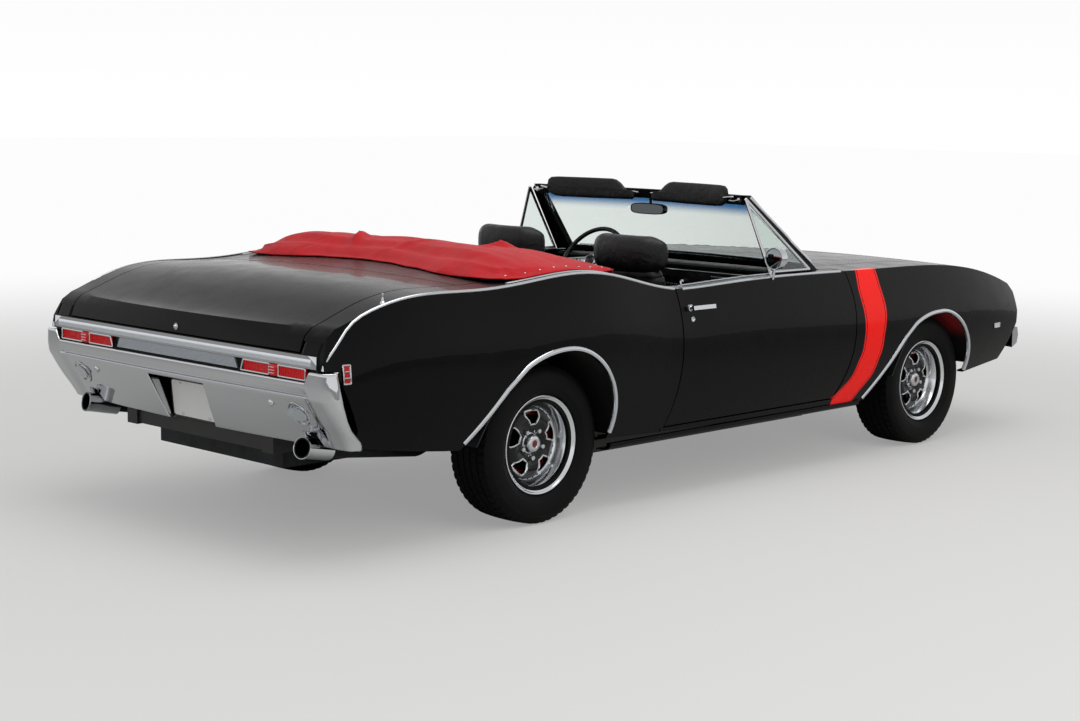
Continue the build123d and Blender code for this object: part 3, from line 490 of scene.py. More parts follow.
# ---- wheels ----
# Pressed steel wheels with a black five-arm centre, a polished trim ring clipped in the rim,
# bright beads round the five openings, five chromed nuts and a round cap with a red middle.
# The steel behind the openings is red.
satin_black = surfaced("semi_gloss_black_enamel", "#050506", 0.2, 0.0, 500, 0.00003, specular=0.35)
wheel_red = surfaced("red_wheel_enamel", "#5e0a0d", 0.4, 0.0, 300, 0.00004)
chrome = surfaced("chrome_plated_steel", "#c9cbce", 0.05, 1.0, 25, 0.00006, 2.0)

trim_ring = surfaced("polished_aluminium_ring", "#dcdfe2", 0.2, 1.0, 60, 0.00003)


def arm_height(angle, radius):
    """How far out the wheel centre's face stands: raised arms that run to the hub."""
    arm = 0.5 + 0.5 * cos(5 * angle)
    dish = 0.034 + 0.014 * min(1.0, max(0.0, (radius - 0.05) / 0.045)) - 0.026 * max(0.0, (radius - 0.110) / 0.044)
    raised = max(0.0, min(1.0, (radius - 0.058) / 0.012)) * max(0.0, min(1.0, (0.149 - radius) / 0.012))
    return dish + 0.008 * (1 - arm) * raised


# the openings' inner and outer radius
OPEN_FROM, OPEN_TO = 0.082, 0.139


def opening_edge(radius):
    """Half the angle of one opening at a radius."""
    share = (radius - OPEN_FROM) / (OPEN_TO - OPEN_FROM)
    return radians(11.0 + 8.0 * min(1.0, share * 1.5) - 7.0 * max(0.0, share - 0.8) * 5 * 0.5)


for spot, (x, y, z, sign) in HUBS.items():
    wheel = Workpiece(f"styled_wheel_{spot}", satin_black, stainless, chrome, wheel_red, trim_ring)

    def spot_of(out, radius, angle):
        """A place on this wheel."""
        return (x + sign * out, y + radius * cos(angle), z + radius * sin(angle))

    hub = (x, y, z)
    axle = (sign, 0, 0)
    # trim ring and rim flange
    wheel.turn([(0.0935, 0.2065), (0.0990, 0.2070), (0.1005, 0.2045), (0.0990, 0.2010), (0.0950, 0.1985),
                (0.0925, 0.1940), (0.0880, 0.1880), (0.0780, 0.1800), (0.0640, 0.1720), (0.0500, 0.1660),
                (0.0380, 0.1620), (0.0290, 0.1580), (0.0250, 0.1545), (0.0235, 0.1520)], hub, axle, 4, 128)
    # rim barrel behind
    wheel.turn([(0.0235, 0.1520), (0.0180, 0.1640), (-0.0600, 0.1690), (-0.0860, 0.1880), (-0.0960, 0.2010),
                (-0.1000, 0.2070), (-0.0900, 0.2078), (-0.0860, 0.2000), (-0.0700, 0.1790), (0.0850, 0.1790),
                (0.0900, 0.2070), (0.0935, 0.2065)], hub, axle, 0, 96)
    # centre, with five openings
    radii = [0.034, 0.045, 0.055, 0.064, 0.074, 0.082, 0.090, 0.100, 0.112, 0.124, 0.134, 0.139, 0.146, 0.154]
    columns = [k / 6 for k in range(-6, 7)]
    for arm in range(5):
        grid = []
        for radius in radii:
            half = opening_edge(min(max(radius, OPEN_FROM), OPEN_TO))
            row = []
            for u in columns:
                beyond = half + (radians(36) - half) * (abs(u) - 0.5) * 2
                turn = half * u * 2 if abs(u) <= 0.5 else beyond * (1 if u > 0 else -1)
                angle = arm * 2 * pi / 5 + pi / 2 + turn
                row.append(spot_of(arm_height(angle - pi / 2 + pi / 5, radius), radius, angle))
            grid.append(row)
        faces = []
        for i in range(len(radii) - 1):
            for j in range(len(columns) - 1):
                if abs(columns[j] + columns[j + 1]) / 2 < 0.5 and OPEN_FROM <= radii[i] < OPEN_TO:
                    continue
                a = i * len(columns) + j
                faces.append((a, a + 1, a + len(columns) + 1, a + len(columns)))
        wheel.lay([point for row in grid for point in row], faces)
        # bead and inner wall of the opening
        outline = [(radius, opening_edge(radius)) for radius in radii if OPEN_FROM <= radius <= OPEN_TO]
        loop = outline + [(OPEN_TO, opening_edge(OPEN_TO) * t) for t in (0.5, 0.0, -0.5)]
        loop += [(radius, -half) for radius, half in reversed(outline)]
        loop += [(OPEN_FROM, opening_edge(OPEN_FROM) * t) for t in (-0.5, 0.0, 0.5)]
        ring, deep = [], []
        for radius, turn in loop:
            angle = arm * 2 * pi / 5 + pi / 2 + turn
            level = arm_height(angle - pi / 2 + pi / 5, radius)
            ring.append(spot_of(level, radius, angle))
            deep.append(spot_of(level - 0.014, radius, angle))
        wheel.rod(ring, 0.0042, 2, 8, closed=True, upright=axle)
        wheel.skin([ring, deep], 0, around=True)
    # red steel behind
    wheel.turn([(0.012, 0.060), (0.012, 0.100), (0.010, 0.118)], hub, axle, 0, 64)
    wheel.turn([(0.010, 0.118), (0.010, 0.140), (0.006, 0.1600)], hub, axle, 3, 64)
    # nuts
    for k in range(5):
        angle = 2 * pi * k / 5 + pi / 2 + pi / 5
        seat = Vector(spot_of(0.031, 0.0603, angle))
        wheel.turn([(0.000, 0.0150), (0.004, 0.0145), (0.006, 0.0122), (0.022, 0.0118), (0.0260, 0.0090),
                    (0.0268, 0.0)],
                   seat, axle, 2, 6)
    # cap
    wheel.turn([(0.030, 0.046), (0.0345, 0.0445), (0.0360, 0.0400), (0.050, 0.0370), (0.0590, 0.0345),
                (0.0630, 0.0300), (0.0645, 0.0200), (0.0640, 0.0165), (0.0620, 0.0145)], hub, axle, 2, 64)
    wheel.turn([(0.0620, 0.0145), (0.0622, 0.0090), (0.0624, 0.0)], hub, axle, 3, 48)
    made = wheel.make(f"wheel_{spot}", sharp=35)
    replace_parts(made, f"rim_{spot}")


# ---- bright lines along the shoulder ----
# A rolled stainless bead follows the shoulder crease from the bumper's end to the fender,
# cut at the door's rear gap.
def crease_points(low, high, name):
    """A panel's corner line between two places along the car, on the left side, every 45 mm."""
    found = []
    shape = bmesh.new()
    shape.from_mesh(nodes[name].data)
    count = max(2, int((high - low) / 0.045) + 1)
    for k in range(count):
        y = low + (high - low) * k / (count - 1)
        cut = shape.copy()
        made = bmesh.ops.bisect_plane(cut, geom=cut.verts[:] + cut.edges[:] + cut.faces[:], plane_co=(0, y, 0),
                                      plane_no=(0, 1, 0))
        spots = [v.co.copy() for v in made["geom_cut"]
                 if isinstance(v, bmesh.types.BMVert) and v.co.x > 0.7 and v.co.z > 0.88]
        cut.free()
        if spots:
            found.append(max(spots, key=lambda p: p.x * 0.75 + p.z))
    shape.free()
    return found


def smoothed(line, times=3):
    """The same line with its unevenness taken out."""
    for _ in range(times):
        line = [line[0]] + [(line[k - 1] + line[k] * 2 + line[k + 1]) / 4
                            for k in range(1, len(line) - 1)] + [line[-1]]
    return line


def bead(name, line, body):
    """A rolled D bead along a line on both sides of the car, turned rearward at the quarter's end."""
    strip = Workpiece(f"{name}_left", stainless)
    wide, tall = 0.012, 0.0045
    rows = []
    for k, point in enumerate(line):
        back = max(0.0, min(1.0, (point.y - 2.36) / 0.12))
        out = (Vector((0.75, 0, 0.66)) * (1 - back) + Vector((0.55, 0.80, 0.20)) * back).normalized()
        ahead = (line[min(k + 1, len(line) - 1)] - line[max(k - 1, 0)]).normalized()
        side = ahead.cross(out).normalized()
        rows.append([point + side * wide * a + out * tall * b for a, b in
                     ((-0.5, -0.6), (-0.5, 0.1), (-0.38, 0.62), (-0.15, 0.95), (0.15, 0.95), (0.38, 0.62),
                      (0.5, 0.1), (0.5, -0.6))])
    strip.skin(rows, caps=True)
    strip.mirrored(f"{name}_right").make(body.replace("left", "right"))
    strip.make(body)


quarter_crease = crease_points(0.560, 2.43, "quarter_left")
quarter_back = surface_of("quarter_left")
for z in (0.890, 0.870, 0.850, 0.830, 0.810, 0.790, 0.770, 0.754):
    hit = meet(quarter_back, (0.899, BEHIND, z), (0, -1, 0))
    if hit is not None and hit.y > 2.40:
        quarter_crease.append(hit)
bead("shoulder_bead_rear", smoothed(quarter_crease, 4), "body")
door_crease = smoothed(crease_points(-0.690, 0.552, "door_left"))
bead("shoulder_bead_door", door_crease, "door_left")

# ---- tail lamps and panel ----
# Red acrylic lenses with pressed flutes, two to a side, each in a chromed die-cast frame,
# and between the pairs a satin silver panel with fine level ribs and slanted ends.
def waves(tree, where, per_metre, direction):
    """Even ribs from 0 to 1, fixed to the piece."""
    return add(tree, "ShaderNodeTexWave", {"Vector": where.outputs["Object"], "Scale": per_metre},
               bands_direction=direction).outputs["Fac"]


red_lens, tree, shader = new_material("red_acrylic_lens", "#c8060c", 0.12)
shader.inputs["Specular IOR Level"].default_value = 0.35
# painted glow: the lens gives off a faint red light of its own, which makes it read brighter
shader.inputs["Emission Color"].default_value = linear("#ff0a0a")
shader.inputs["Emission Strength"].default_value = 0.06
relief(tree, shader, waves(tree, add(tree, "ShaderNodeTexCoord"), 30.0, "X"), 0.0015)
dress(red_lens, "tail_lamps")
side_lens, tree, shader = new_material("side_lamp_lens", "#a80208", 0.15)
shader.inputs["Specular IOR Level"].default_value = 0.35
where = bumps(tree, shader, 220, 0.0006, 1.0)
place = add(tree, "ShaderNodeSeparateXYZ", {0: where.outputs["Object"]})
rearward = maths(tree, "GREATER_THAN", place.outputs["Y"], 0.0)
tinted(tree, shader, rearward, "#d9d6cc", "#a80208")
dress(side_lens, "side_markers")

tail_skin = surface_of("tail_lamps", "tail_panel", "tail_trim", "bumper_rear", "trunk_lid", "quarter_left",
                       "quarter_right")


def on_tail(x, z):
    """The rear skin's point at a place seen from behind."""
    hit = meet(tail_skin, (x, BEHIND, z), (0, -1, 0))
    return hit if hit is not None else Vector((x, 2.5, z))


frames = Workpiece("tail_lamp_frames", chrome, red_lens)
for sign in (1, -1):
    for x0, x1, slant in ((0.446, 0.602, 0.016), (0.656, 0.812, 0.0)):
        corners = [(x0 - slant, 0.7125), (x1, 0.7125), (x1, 0.7535), (x0, 0.7535)]
        loop = []
        for k, (ax, az) in enumerate(corners):
            bx, bz = corners[(k + 1) % 4]
            for t in (0.02, 0.06, 0.25, 0.5, 0.75, 0.94, 0.98):
                x, z = ax + (bx - ax) * t, az + (bz - az) * t
                loop.append(Vector((sign * x, on_tail(sign * max(0.448, min(0.81, x)),
                                                      max(0.715, min(0.751, z))).y + 0.002, z)))
        frames.rod(loop, 0.0032, 0, 8, closed=True, upright=(0, 1, 0))
    rows = []
    for x in (0.605, 0.608, 0.617, 0.629, 0.641, 0.650, 0.653):
        lift = 0.012 * sin(pi * (x - 0.603) / 0.052) ** 0.4
        y = on_tail(sign * 0.60, 0.733).y
        rows.append([(sign * x, y + out * lift, z)
                     for z, out in ((0.712, 0), (0.7125, 0.8), (0.716, 1), (0.733, 1.05), (0.750, 1),
                                    (0.7535, 0.8), (0.754, 0))])
    frames.skin(rows, 1)
    for z in (0.722, 0.733, 0.744):
        frames.rod([(sign * x, on_tail(sign * 0.60, 0.733).y + 0.0125, z) for x in (0.612, 0.629, 0.646)],
                   0.0016, 0, 6)
frames.make("body")

ribbed_silver = surfaced("satin_silver_ribbed_panel", "#d3d7dc", 0.4, 1.0, 700, 0.00003)
panel = Workpiece("ribbed_tail_panel", ribbed_silver)
columns = 41
for rib in range(9):
    z = 0.7150 + rib * 0.0046
    rows = []
    for k in range(columns):
        share = -1 + 2 * k / (columns - 1)
        reach = 0.404 - 0.020 * (z - 0.715) / 0.040
        x = reach * share
        y = on_tail(x, 0.735).y
        rows.append([(x, y + out, z + up) for out, up in ((-0.004, 0.0), (0.0055, 0.0), (0.0078, 0.0009),
                                                          (0.0078, 0.0027), (0.0055, 0.0036), (0.0042, 0.0046),
                                                          (-0.004, 0.0046))])
    panel.skin(rows, caps=True)
panel.make("body")

# painted corner pieces between the lid and the quarters, above the bar
corner = Workpiece("tail_corners", black_enamel)
for sign in (1, -1):
    rows = []
    for z in (0.8062, 0.8068, 0.812, 0.820, 0.830, 0.840, 0.850, 0.8590):
        row = []
        for k in range(13):
            x = 0.7685 + (0.8765 - 0.7685) * k / 12
            inner = 2.5312 - 0.42 * (z - 0.810) - 1.2 * max(0, z - 0.83) * (z - 0.83)
            outer = 2.5272 - 0.47 * (z - 0.810)
            y = inner + (outer - inner) * k / 12 - 0.0006
            if z < 0.8065 or k in (0, 12):
                y -= 0.010
            row.append((sign * x, y, z))
        rows.append(row)
    corner.skin(rows)
corner.make("body", sharp=50)

# ---- tail bar, lock and lid edge ----
# The chromed bar over the lamps has a satin band let into it, left plain, and a key cover above.
bar_silver = surfaced("satin_anodised_bar", "#dde1e6", 0.3, 1.0, 900, 0.00001)
bar_band = Workpiece("tail_bar_band", bar_silver)
low, high = 0.7655, 0.7915
rows = []
for k in range(49):
    x = -0.842 + 1.684 * k / 48
    rows.append([(x, on_tail(x, max(0.758, min(0.803, z))).y + out, z) for z, out in
                 ((low, -0.002), (low, 0.0008), (low + 0.0012, 0.0016), (high - 0.0012, 0.0016), (high, 0.0008),
                  (high, -0.002))])
bar_band.skin(rows, caps=True)
bar_band.make("body")
lock = Workpiece("lid_key_cover", chrome)
seat = on_tail(0.0, 0.836)
lock.turn([(-0.004, 0.0135), (0.003, 0.0135), (0.0045, 0.0120), (0.0045, 0.0090), (0.006, 0.0080),
           (0.0095, 0.0060), (0.0105, 0.0)], seat, (0, 1, 0.06), 0, 32)
lock.make("trunk_lid")

# ---- rear bumper ----
# One pressing in thick steel, chromed: a long face that falls inward towards its foot, with a
# creased line under the lamps, a let-in for the plate, and rounded ends that wrap the corners.
# by height: how far back the face stands in its middle, and how fast it falls away to the ends
FACE = ((0.440, 2.462, 0.074), (0.460, 2.472, 0.0735), (0.500, 2.491, 0.066), (0.550, 2.514, 0.052),
        (0.600, 2.536, 0.039), (0.640, 2.554, 0.0284), (0.690, 2.5585, 0.004), (0.750, 2.5575, 0.002))
# where each end's front edge stands, and how far out its side is, by height
END_EDGE = ((0.380, 2.374), (0.462, 2.374), (0.480, 2.384), (0.500, 2.406), (0.530, 2.436), (0.570, 2.460),
            (0.620, 2.478), (0.680, 2.490), (0.750, 2.500))
END_SIDE = ((0.380, 0.905), (0.460, 0.928), (0.500, 0.938), (0.550, 0.945), (0.600, 0.950), (0.650, 0.948),
            (0.700, 0.943), (0.750, 0.936))


def straight(table, at, column=1):
    """A value read along straight lines between a table's rows."""
    if at <= table[0][0]:
        return table[0][column]
    for low, high in zip(table, table[1:]):
        if at <= high[0]:
            return low[column] + (high[column] - low[column]) * (at - low[0]) / (high[0] - low[0])
    return table[-1][column]


def ease(low, high, at):
    """0 below low, 1 above high, and smooth between."""
    t = max(0.0, min(1.0, (at - low) / (high - low)))
    return t * t * (3 - 2 * t)


def rear_face(x, z):
    """How far back the bumper's face stands."""
    cap = ease(0.795, 0.845, x)
    crease = -0.0075 * max(0.0, 1 - abs(z - 0.6525) / 0.0055) * (1 - cap)
    upper = -0.003 * ease(0.648, 0.657, z) * (1 - ease(0.66, 0.69, z)) * (1 - cap)
    turned_up = 0.013 * cap * (1 - ease(0.64, 0.70, z))
    return straight(FACE, z, 1) - straight(FACE, z, 2) * x * x + crease + upper + turned_up


# the let-in for the plate: its top, its column of points, and where its edge stands by height
RECESS_TOP, RECESS_HALF, BLEND_TO = 0.632, 0.19, 0.30
PLATE_EDGE = ((0.448, 0.158), (RECESS_TOP, RECESS_HALF), (0.750, RECESS_HALF))
# between these heights the rows of points lie level
LEVEL_FROM, LEVEL_TO = 0.510, 0.660
PAN_Y = 2.4335
heights = [0.448, 0.455, 0.463, 0.471, 0.480, 0.490, 0.500, 0.515, 0.530, 0.545, 0.560, 0.575, 0.590, 0.604,
           0.618, 0.626, 0.632, 0.638, 0.643, 0.6465, 0.6485, 0.6505, 0.6525, 0.6545, 0.6565, 0.659, 0.664,
           0.671, 0.680, 0.690, 0.698, 0.703]
widths = [0.0, 0.03, 0.06, 0.09, 0.12, 0.15, 0.19, 0.21, 0.24, 0.27, 0.30]
widths += [0.32 + 0.025 * k for k in range(13)] + [0.632 + 0.008 * k for k in range(33)]
foot = lambda x: 0.448 + 0.055 * ease(0.668, 0.692, x) * (1 - ease(0.756, 0.780, x))
head = lambda x: 0.703 + 0.042 * ease(0.818, 0.850, x)
shell = Workpiece("chromed_rear_bumper", chrome)
grid = []
for level in heights:
    row = []
    for x in widths:
        z = level
        if level < LEVEL_FROM:
            z = LEVEL_FROM - (LEVEL_FROM - level) / 0.062 * (LEVEL_FROM - foot(x))
        elif level > LEVEL_TO:
            z = LEVEL_TO + (level - LEVEL_TO) / 0.043 * (head(x) - LEVEL_TO)
        edge = straight(PLATE_EDGE, z)
        if x <= RECESS_HALF:
            px = x * edge / RECESS_HALF
        elif x < BLEND_TO:
            px = edge + (x - RECESS_HALF) / 0.11 * (BLEND_TO - edge)
        else:
            px = x
        row.append(Vector((px, rear_face(px, z), z)))
    # round the corner and forward along the side, to this height's front edge
    z = row[-1].z
    start, side, stop = row[-1], straight(END_SIDE, z), straight(END_EDGE, z)
    turn_y = max(start.y - 0.056, stop + 0.003)
    bend, land = Vector((side, start.y - 0.001, z)), Vector((side, turn_y, z))
    for k in range(1, 15):
        t = k / 14
        row.append(start * (1 - t) ** 2 + bend * (2 * t * (1 - t)) + land * t * t)
    for k in range(1, 6):
        row.append(land.lerp(Vector((side + 0.004, stop, z)), k / 5))
    row.append(Vector((side + 0.002, stop - 0.003, z)))
    row.append(Vector((side - 0.014, stop - 0.004, z)))
    grid.append(row)


def tucked(row, drop, depth):
    """A row of the lip that turns in from the bumper's edge."""
    made = []
    for k, point in enumerate(row):
        before, after = row[max(0, k - 1)], row[min(len(row) - 1, k + 1)]
        way = Vector((after.x - before.x, after.y - before.y, 0)).normalized()
        made.append(point + Vector((way.y, -way.x, 0)) * depth * (1 if k < len(row) - 2 else 0.1)
                    + Vector((0, 0, drop)))
    return made


below = [tucked(grid[0], drop, depth) for drop, depth in ((-0.002, 0.030), (-0.003, 0.006), (-0.002, 0.0015))]
over = [tucked(grid[-1], drop, depth) for drop, depth in ((0.0018, 0.0015), (0.0028, 0.006), (0.0030, 0.034))]
grid = below + grid + over
plate_columns = widths.index(RECESS_HALF)
top_row = len(below) + heights.index(RECESS_TOP)
for sign in (1, -1):
    flat = sided([point for row in grid for point in row], sign)
    wide = len(grid[0])
    faces = []
    for i in range(len(grid) - 1):
        for j in range(wide - 1):
            if j < plate_columns and i < top_row:
                continue
            faces.append((i * wide + j, i * wide + j + 1, (i + 1) * wide + j + 1, (i + 1) * wide + j))
    shell.lay(flat, faces if sign > 0 else [face[::-1] for face in faces])
    wall = sided([row[plate_columns] for row in grid[:top_row + 1]], sign)
    shell.skin([wall, [p + Vector((-sign * 0.002, -0.004, 0)) for p in wall],
                [Vector((p.x - sign * 0.004, PAN_Y, p.z)) for p in wall]])
    lid = sided(grid[top_row][:plate_columns + 1], sign)
    shell.skin([lid, [p + Vector((0, -0.004, -0.002)) for p in lid],
                [Vector((p.x, PAN_Y, p.z - 0.004)) for p in lid]])
shell.skin([[(-0.152, PAN_Y, 0.450), (0.152, PAN_Y, 0.450)], [(-0.186, PAN_Y, 0.628), (0.186, PAN_Y, 0.628)]])
shell = shell.make("body", sharp=42)
metal = shell.modifiers.new("metal", "SOLIDIFY")
metal.thickness, metal.offset = 0.003, -1.0
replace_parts(shell, "bumper_rear")

# ---- rear bumper fittings ----
# Oval reversing lamps in chromed frames, a bracket with two screws for the plain plate,
# and the chromed exhaust tips, rolled outward at the mouth and sooty inside.
clear_lens, tree, shader = new_material("pressed_lamp_glass", "#c9d0d4", 0.1)
shader.inputs["Transmission Weight"].default_value = 0.35
shader.inputs["Coat Weight"].default_value = 1.0
relief(tree, shader, waves(tree, add(tree, "ShaderNodeTexCoord"), 35.0, "X"), 0.0012)
dress(clear_lens, "headlamps", "backup_lamps")
fittings = Workpiece("reversing_lamp_frames", chrome, satin_black)
for sign in (1, -1):
    rings = []
    for wide, tall, out in ((0.0515, 0.0450, -0.004), (0.0520, 0.0455, 0.003), (0.0500, 0.0435, 0.0055),
                            (0.0475, 0.0405, 0.0035), (0.0465, 0.0380, -0.002), (0.0460, 0.0300, -0.001),
                            (0.0455, 0.0278, 0.003), (0.0435, 0.0260, 0.0036), (0.0420, 0.0248, 0.001)):
        ring = []
        for k in range(48):
            angle = 2 * pi * k / 48
            x, z = sign * (0.723 + wide * cos(angle)), 0.572 + tall * sin(angle)
            ring.append((x, rear_face(abs(x), z) + out, z))
        rings.append(ring)
    fittings.skin(rings[:5], 0, around=True)
    fittings.skin(rings[4:6], 1, around=True)
    fittings.skin(rings[5:], 0, around=True)
    x, z = sign * 0.585, 0.602
    fittings.turn([(-0.002, 0.0150), (0.002, 0.0145), (0.0055, 0.0115), (0.0075, 0.0060), (0.0080, 0.0)],
                  (x, rear_face(0.585, z), z), (0, 1, 0), 0, 28)
fittings.make("body")

plate_white = surfaced("white_enamelled_plate", "#e4e4e0", 0.35, 0.0, 120, 0.0001)
# pressed blank with a rolled edge, in a thin black frame, on a hinged bracket
plate = Workpiece("blank_plate_in_frame", plate_white, chrome, satin_black)


def plate_point(x, z, out):
    """A place on the plate, which leans with its top rearward."""
    return Vector((x, 2.448 + 0.10 * (z - 0.530) + out, z))


rings = []
for inset, out in ((0.0, 0.0), (0.0008, 0.0016), (0.0030, 0.0022), (0.0050, 0.0010), (0.0070, 0.0008)):
    wide, tall = 0.1510 - inset, 0.0750 - inset
    rings.append([plate_point(wide * a, 0.530 + tall * b, out) for a, b in
                  ((-1, -0.86), (-0.93, -1), (0.93, -1), (1, -0.86), (1, 0.86), (0.93, 1), (-0.93, 1),
                   (-1, 0.86))])
plate.skin(rings, 0, around=True)
plate.lay(rings[-1], [tuple(range(8))], 0)
plate.lay([p + Vector((0, -0.0012, 0)) for p in rings[0]], [tuple(range(8))[::-1]], 0)
edge = [plate_point(0.1525 * a, 0.530 + 0.0765 * b, 0.001) for a, b in
        ((-1, -0.8), (-0.98, -0.95), (-0.9, -1), (0, -1), (0.9, -1), (0.98, -0.95), (1, -0.8), (1, 0), (1, 0.8),
         (0.98, 0.95), (0.9, 1), (0, 1), (-0.9, 1), (-0.98, 0.95), (-1, 0.8), (-1, 0))]
plate.rod(edge, 0.0050, 2, 8, closed=True, upright=(0, 1, 0), flat=0.7)
for x in (-0.089, 0.089):
    for z in (0.593, 0.467):
        plate.turn([(0.0, 0.006), (0.0022, 0.0058), (0.003, 0.004), (0.0026, 0.0)], plate_point(x, z, 0.001),
                   (0, 1, 0), 1, 16)
plate.block((-0.100, 2.434, 0.588), (0.100, 2.4515, 0.600), 2)
plate.block((-0.100, 2.434, 0.462), (0.100, 2.4405, 0.474), 2)
plate = plate.make("body", bevel=0.0006)
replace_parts(plate, "blank_plate")

soot = surfaced("sooty_steel", "#0a0908", 0.8, 0.0, 300, 0.0003)
for sign, side in ((1, "left"), (-1, "right")):
    tip = Workpiece(f"exhaust_tip_{side}", chrome, soot)
    foot, mouth = Vector((sign * 0.704, 2.345, 0.4135)), Vector((sign * 0.726, 2.489, 0.443))
    axis = (mouth - foot).normalized()
    length = (mouth - foot).length
    tip.turn([(0.0, 0.0295), (0.004, 0.0385), (0.060, 0.0395), (length - 0.03, 0.0400),
              (length - 0.008, 0.0412), (length, 0.0428), (length + 0.0025, 0.0420), (length + 0.001, 0.0395),
              (length - 0.012, 0.0368)], foot, axis,
             0, 48)
    tip.turn([(length - 0.012, 0.0368), (length - 0.090, 0.0360), (length - 0.0902, 0.0)], foot, axis, 1, 48)
    tip.make("body")


# ---- bucket seats and rear bench ----
# Foam on sprung frames under black vinyl, heat-pressed into channels, with piped edges. The head
# restraints are wide wrapped pads. The forms are lofted tight, as stretched vinyl is.
vinyl, tree, shader = new_material("black_grained_vinyl", "#050506", 0.3)
shader.inputs["Specular IOR Level"].default_value = 0.32
where = add(tree, "ShaderNodeTexCoord")
# leather grain cells are about 1 mm across; drawn at 2.5 mm so that they show
grain = add(tree, "ShaderNodeTexVoronoi", {"Vector": where.outputs["Object"], "Scale": 400.0})
creases = clouds(tree, where, 16.0, 6.0, Distortion=1.2)
deep = maths(tree, "MULTIPLY", grain.outputs["Distance"], 0.0004)
relief(tree, shader, maths(tree, "MULTIPLY_ADD", creases, 0.004, deep))
tree.links.new(carried(tree, creases, 0.3, 0.7, 0.3, 0.5), shader.inputs["Roughness"])
tinted(tree, shader, creases, "#070708", "#0f0f11")


def pad(piece, stations, sides=40, square=3.2, finish=0, groove=None):
    """A stuffed form through stations of (centre, half across, half through), closed at both ends.
    groove(share, angle) gives how far a sewn channel pulls a point in, as a share of its reach."""
    rows = []
    for i, (centre, across_half, through_half) in enumerate(stations):
        centre, across_half, through_half = Vector(centre), Vector(across_half), Vector(through_half)
        row = []
        for k in range(sides):
            angle = 2 * pi * k / sides
            a, b = cos(angle), sin(angle)
            a = (abs(a) ** (2 / square)) * (1 if a >= 0 else -1)
            b = (abs(b) ** (2 / square)) * (1 if b >= 0 else -1)
            pull = 1 - (groove(i / (len(stations) - 1), angle) if groove else 0)
            row.append(centre + across_half * a * pull + through_half * b * pull)
        rows.append(row)
    piece.skin(rows, finish, around=True, caps=True)


def between(stations, per_step=6):
    """More stations along a smooth line through the given ones."""
    made = []
    for k in range(len(stations) - 1):
        a, b = stations[max(0, k - 1)], stations[min(len(stations) - 1, k + 2)]
        c, d = stations[k], stations[k + 1]
        for j in range(per_step):
            t = j / per_step
            made.append(tuple(0.5 * ((2 * Vector(c[m])) + (Vector(d[m]) - Vector(a[m])) * t
                                     + (2 * Vector(a[m]) - 5 * Vector(c[m]) + 4 * Vector(d[m]) - Vector(b[m]))
                                     * t * t
                                     + (3 * Vector(c[m]) - Vector(a[m]) - 3 * Vector(d[m]) + Vector(b[m])) * t
                                     * t * t)
                              for m in range(3)))
    return made + [tuple(Vector(v) for v in stations[-1])]


def lofted(x, rows):
    """Stations at one place across the car, from rows of y, z, half across, and half through in y and in z."""
    return between([((x, y, z), (half, 0, 0), (0, dy, dz)) for y, z, half, dy, dz in rows], 8)


def channels(count, low, high, depth):
    """Sewn channels across a pad between two shares of its length."""
    def pull(share, angle):
        if not low < share < high:
            return 0
        t = (share - low) / (high - low) * count
        return depth * max(0.0, 1 - abs(t - round(t)) * 7)
    return pull


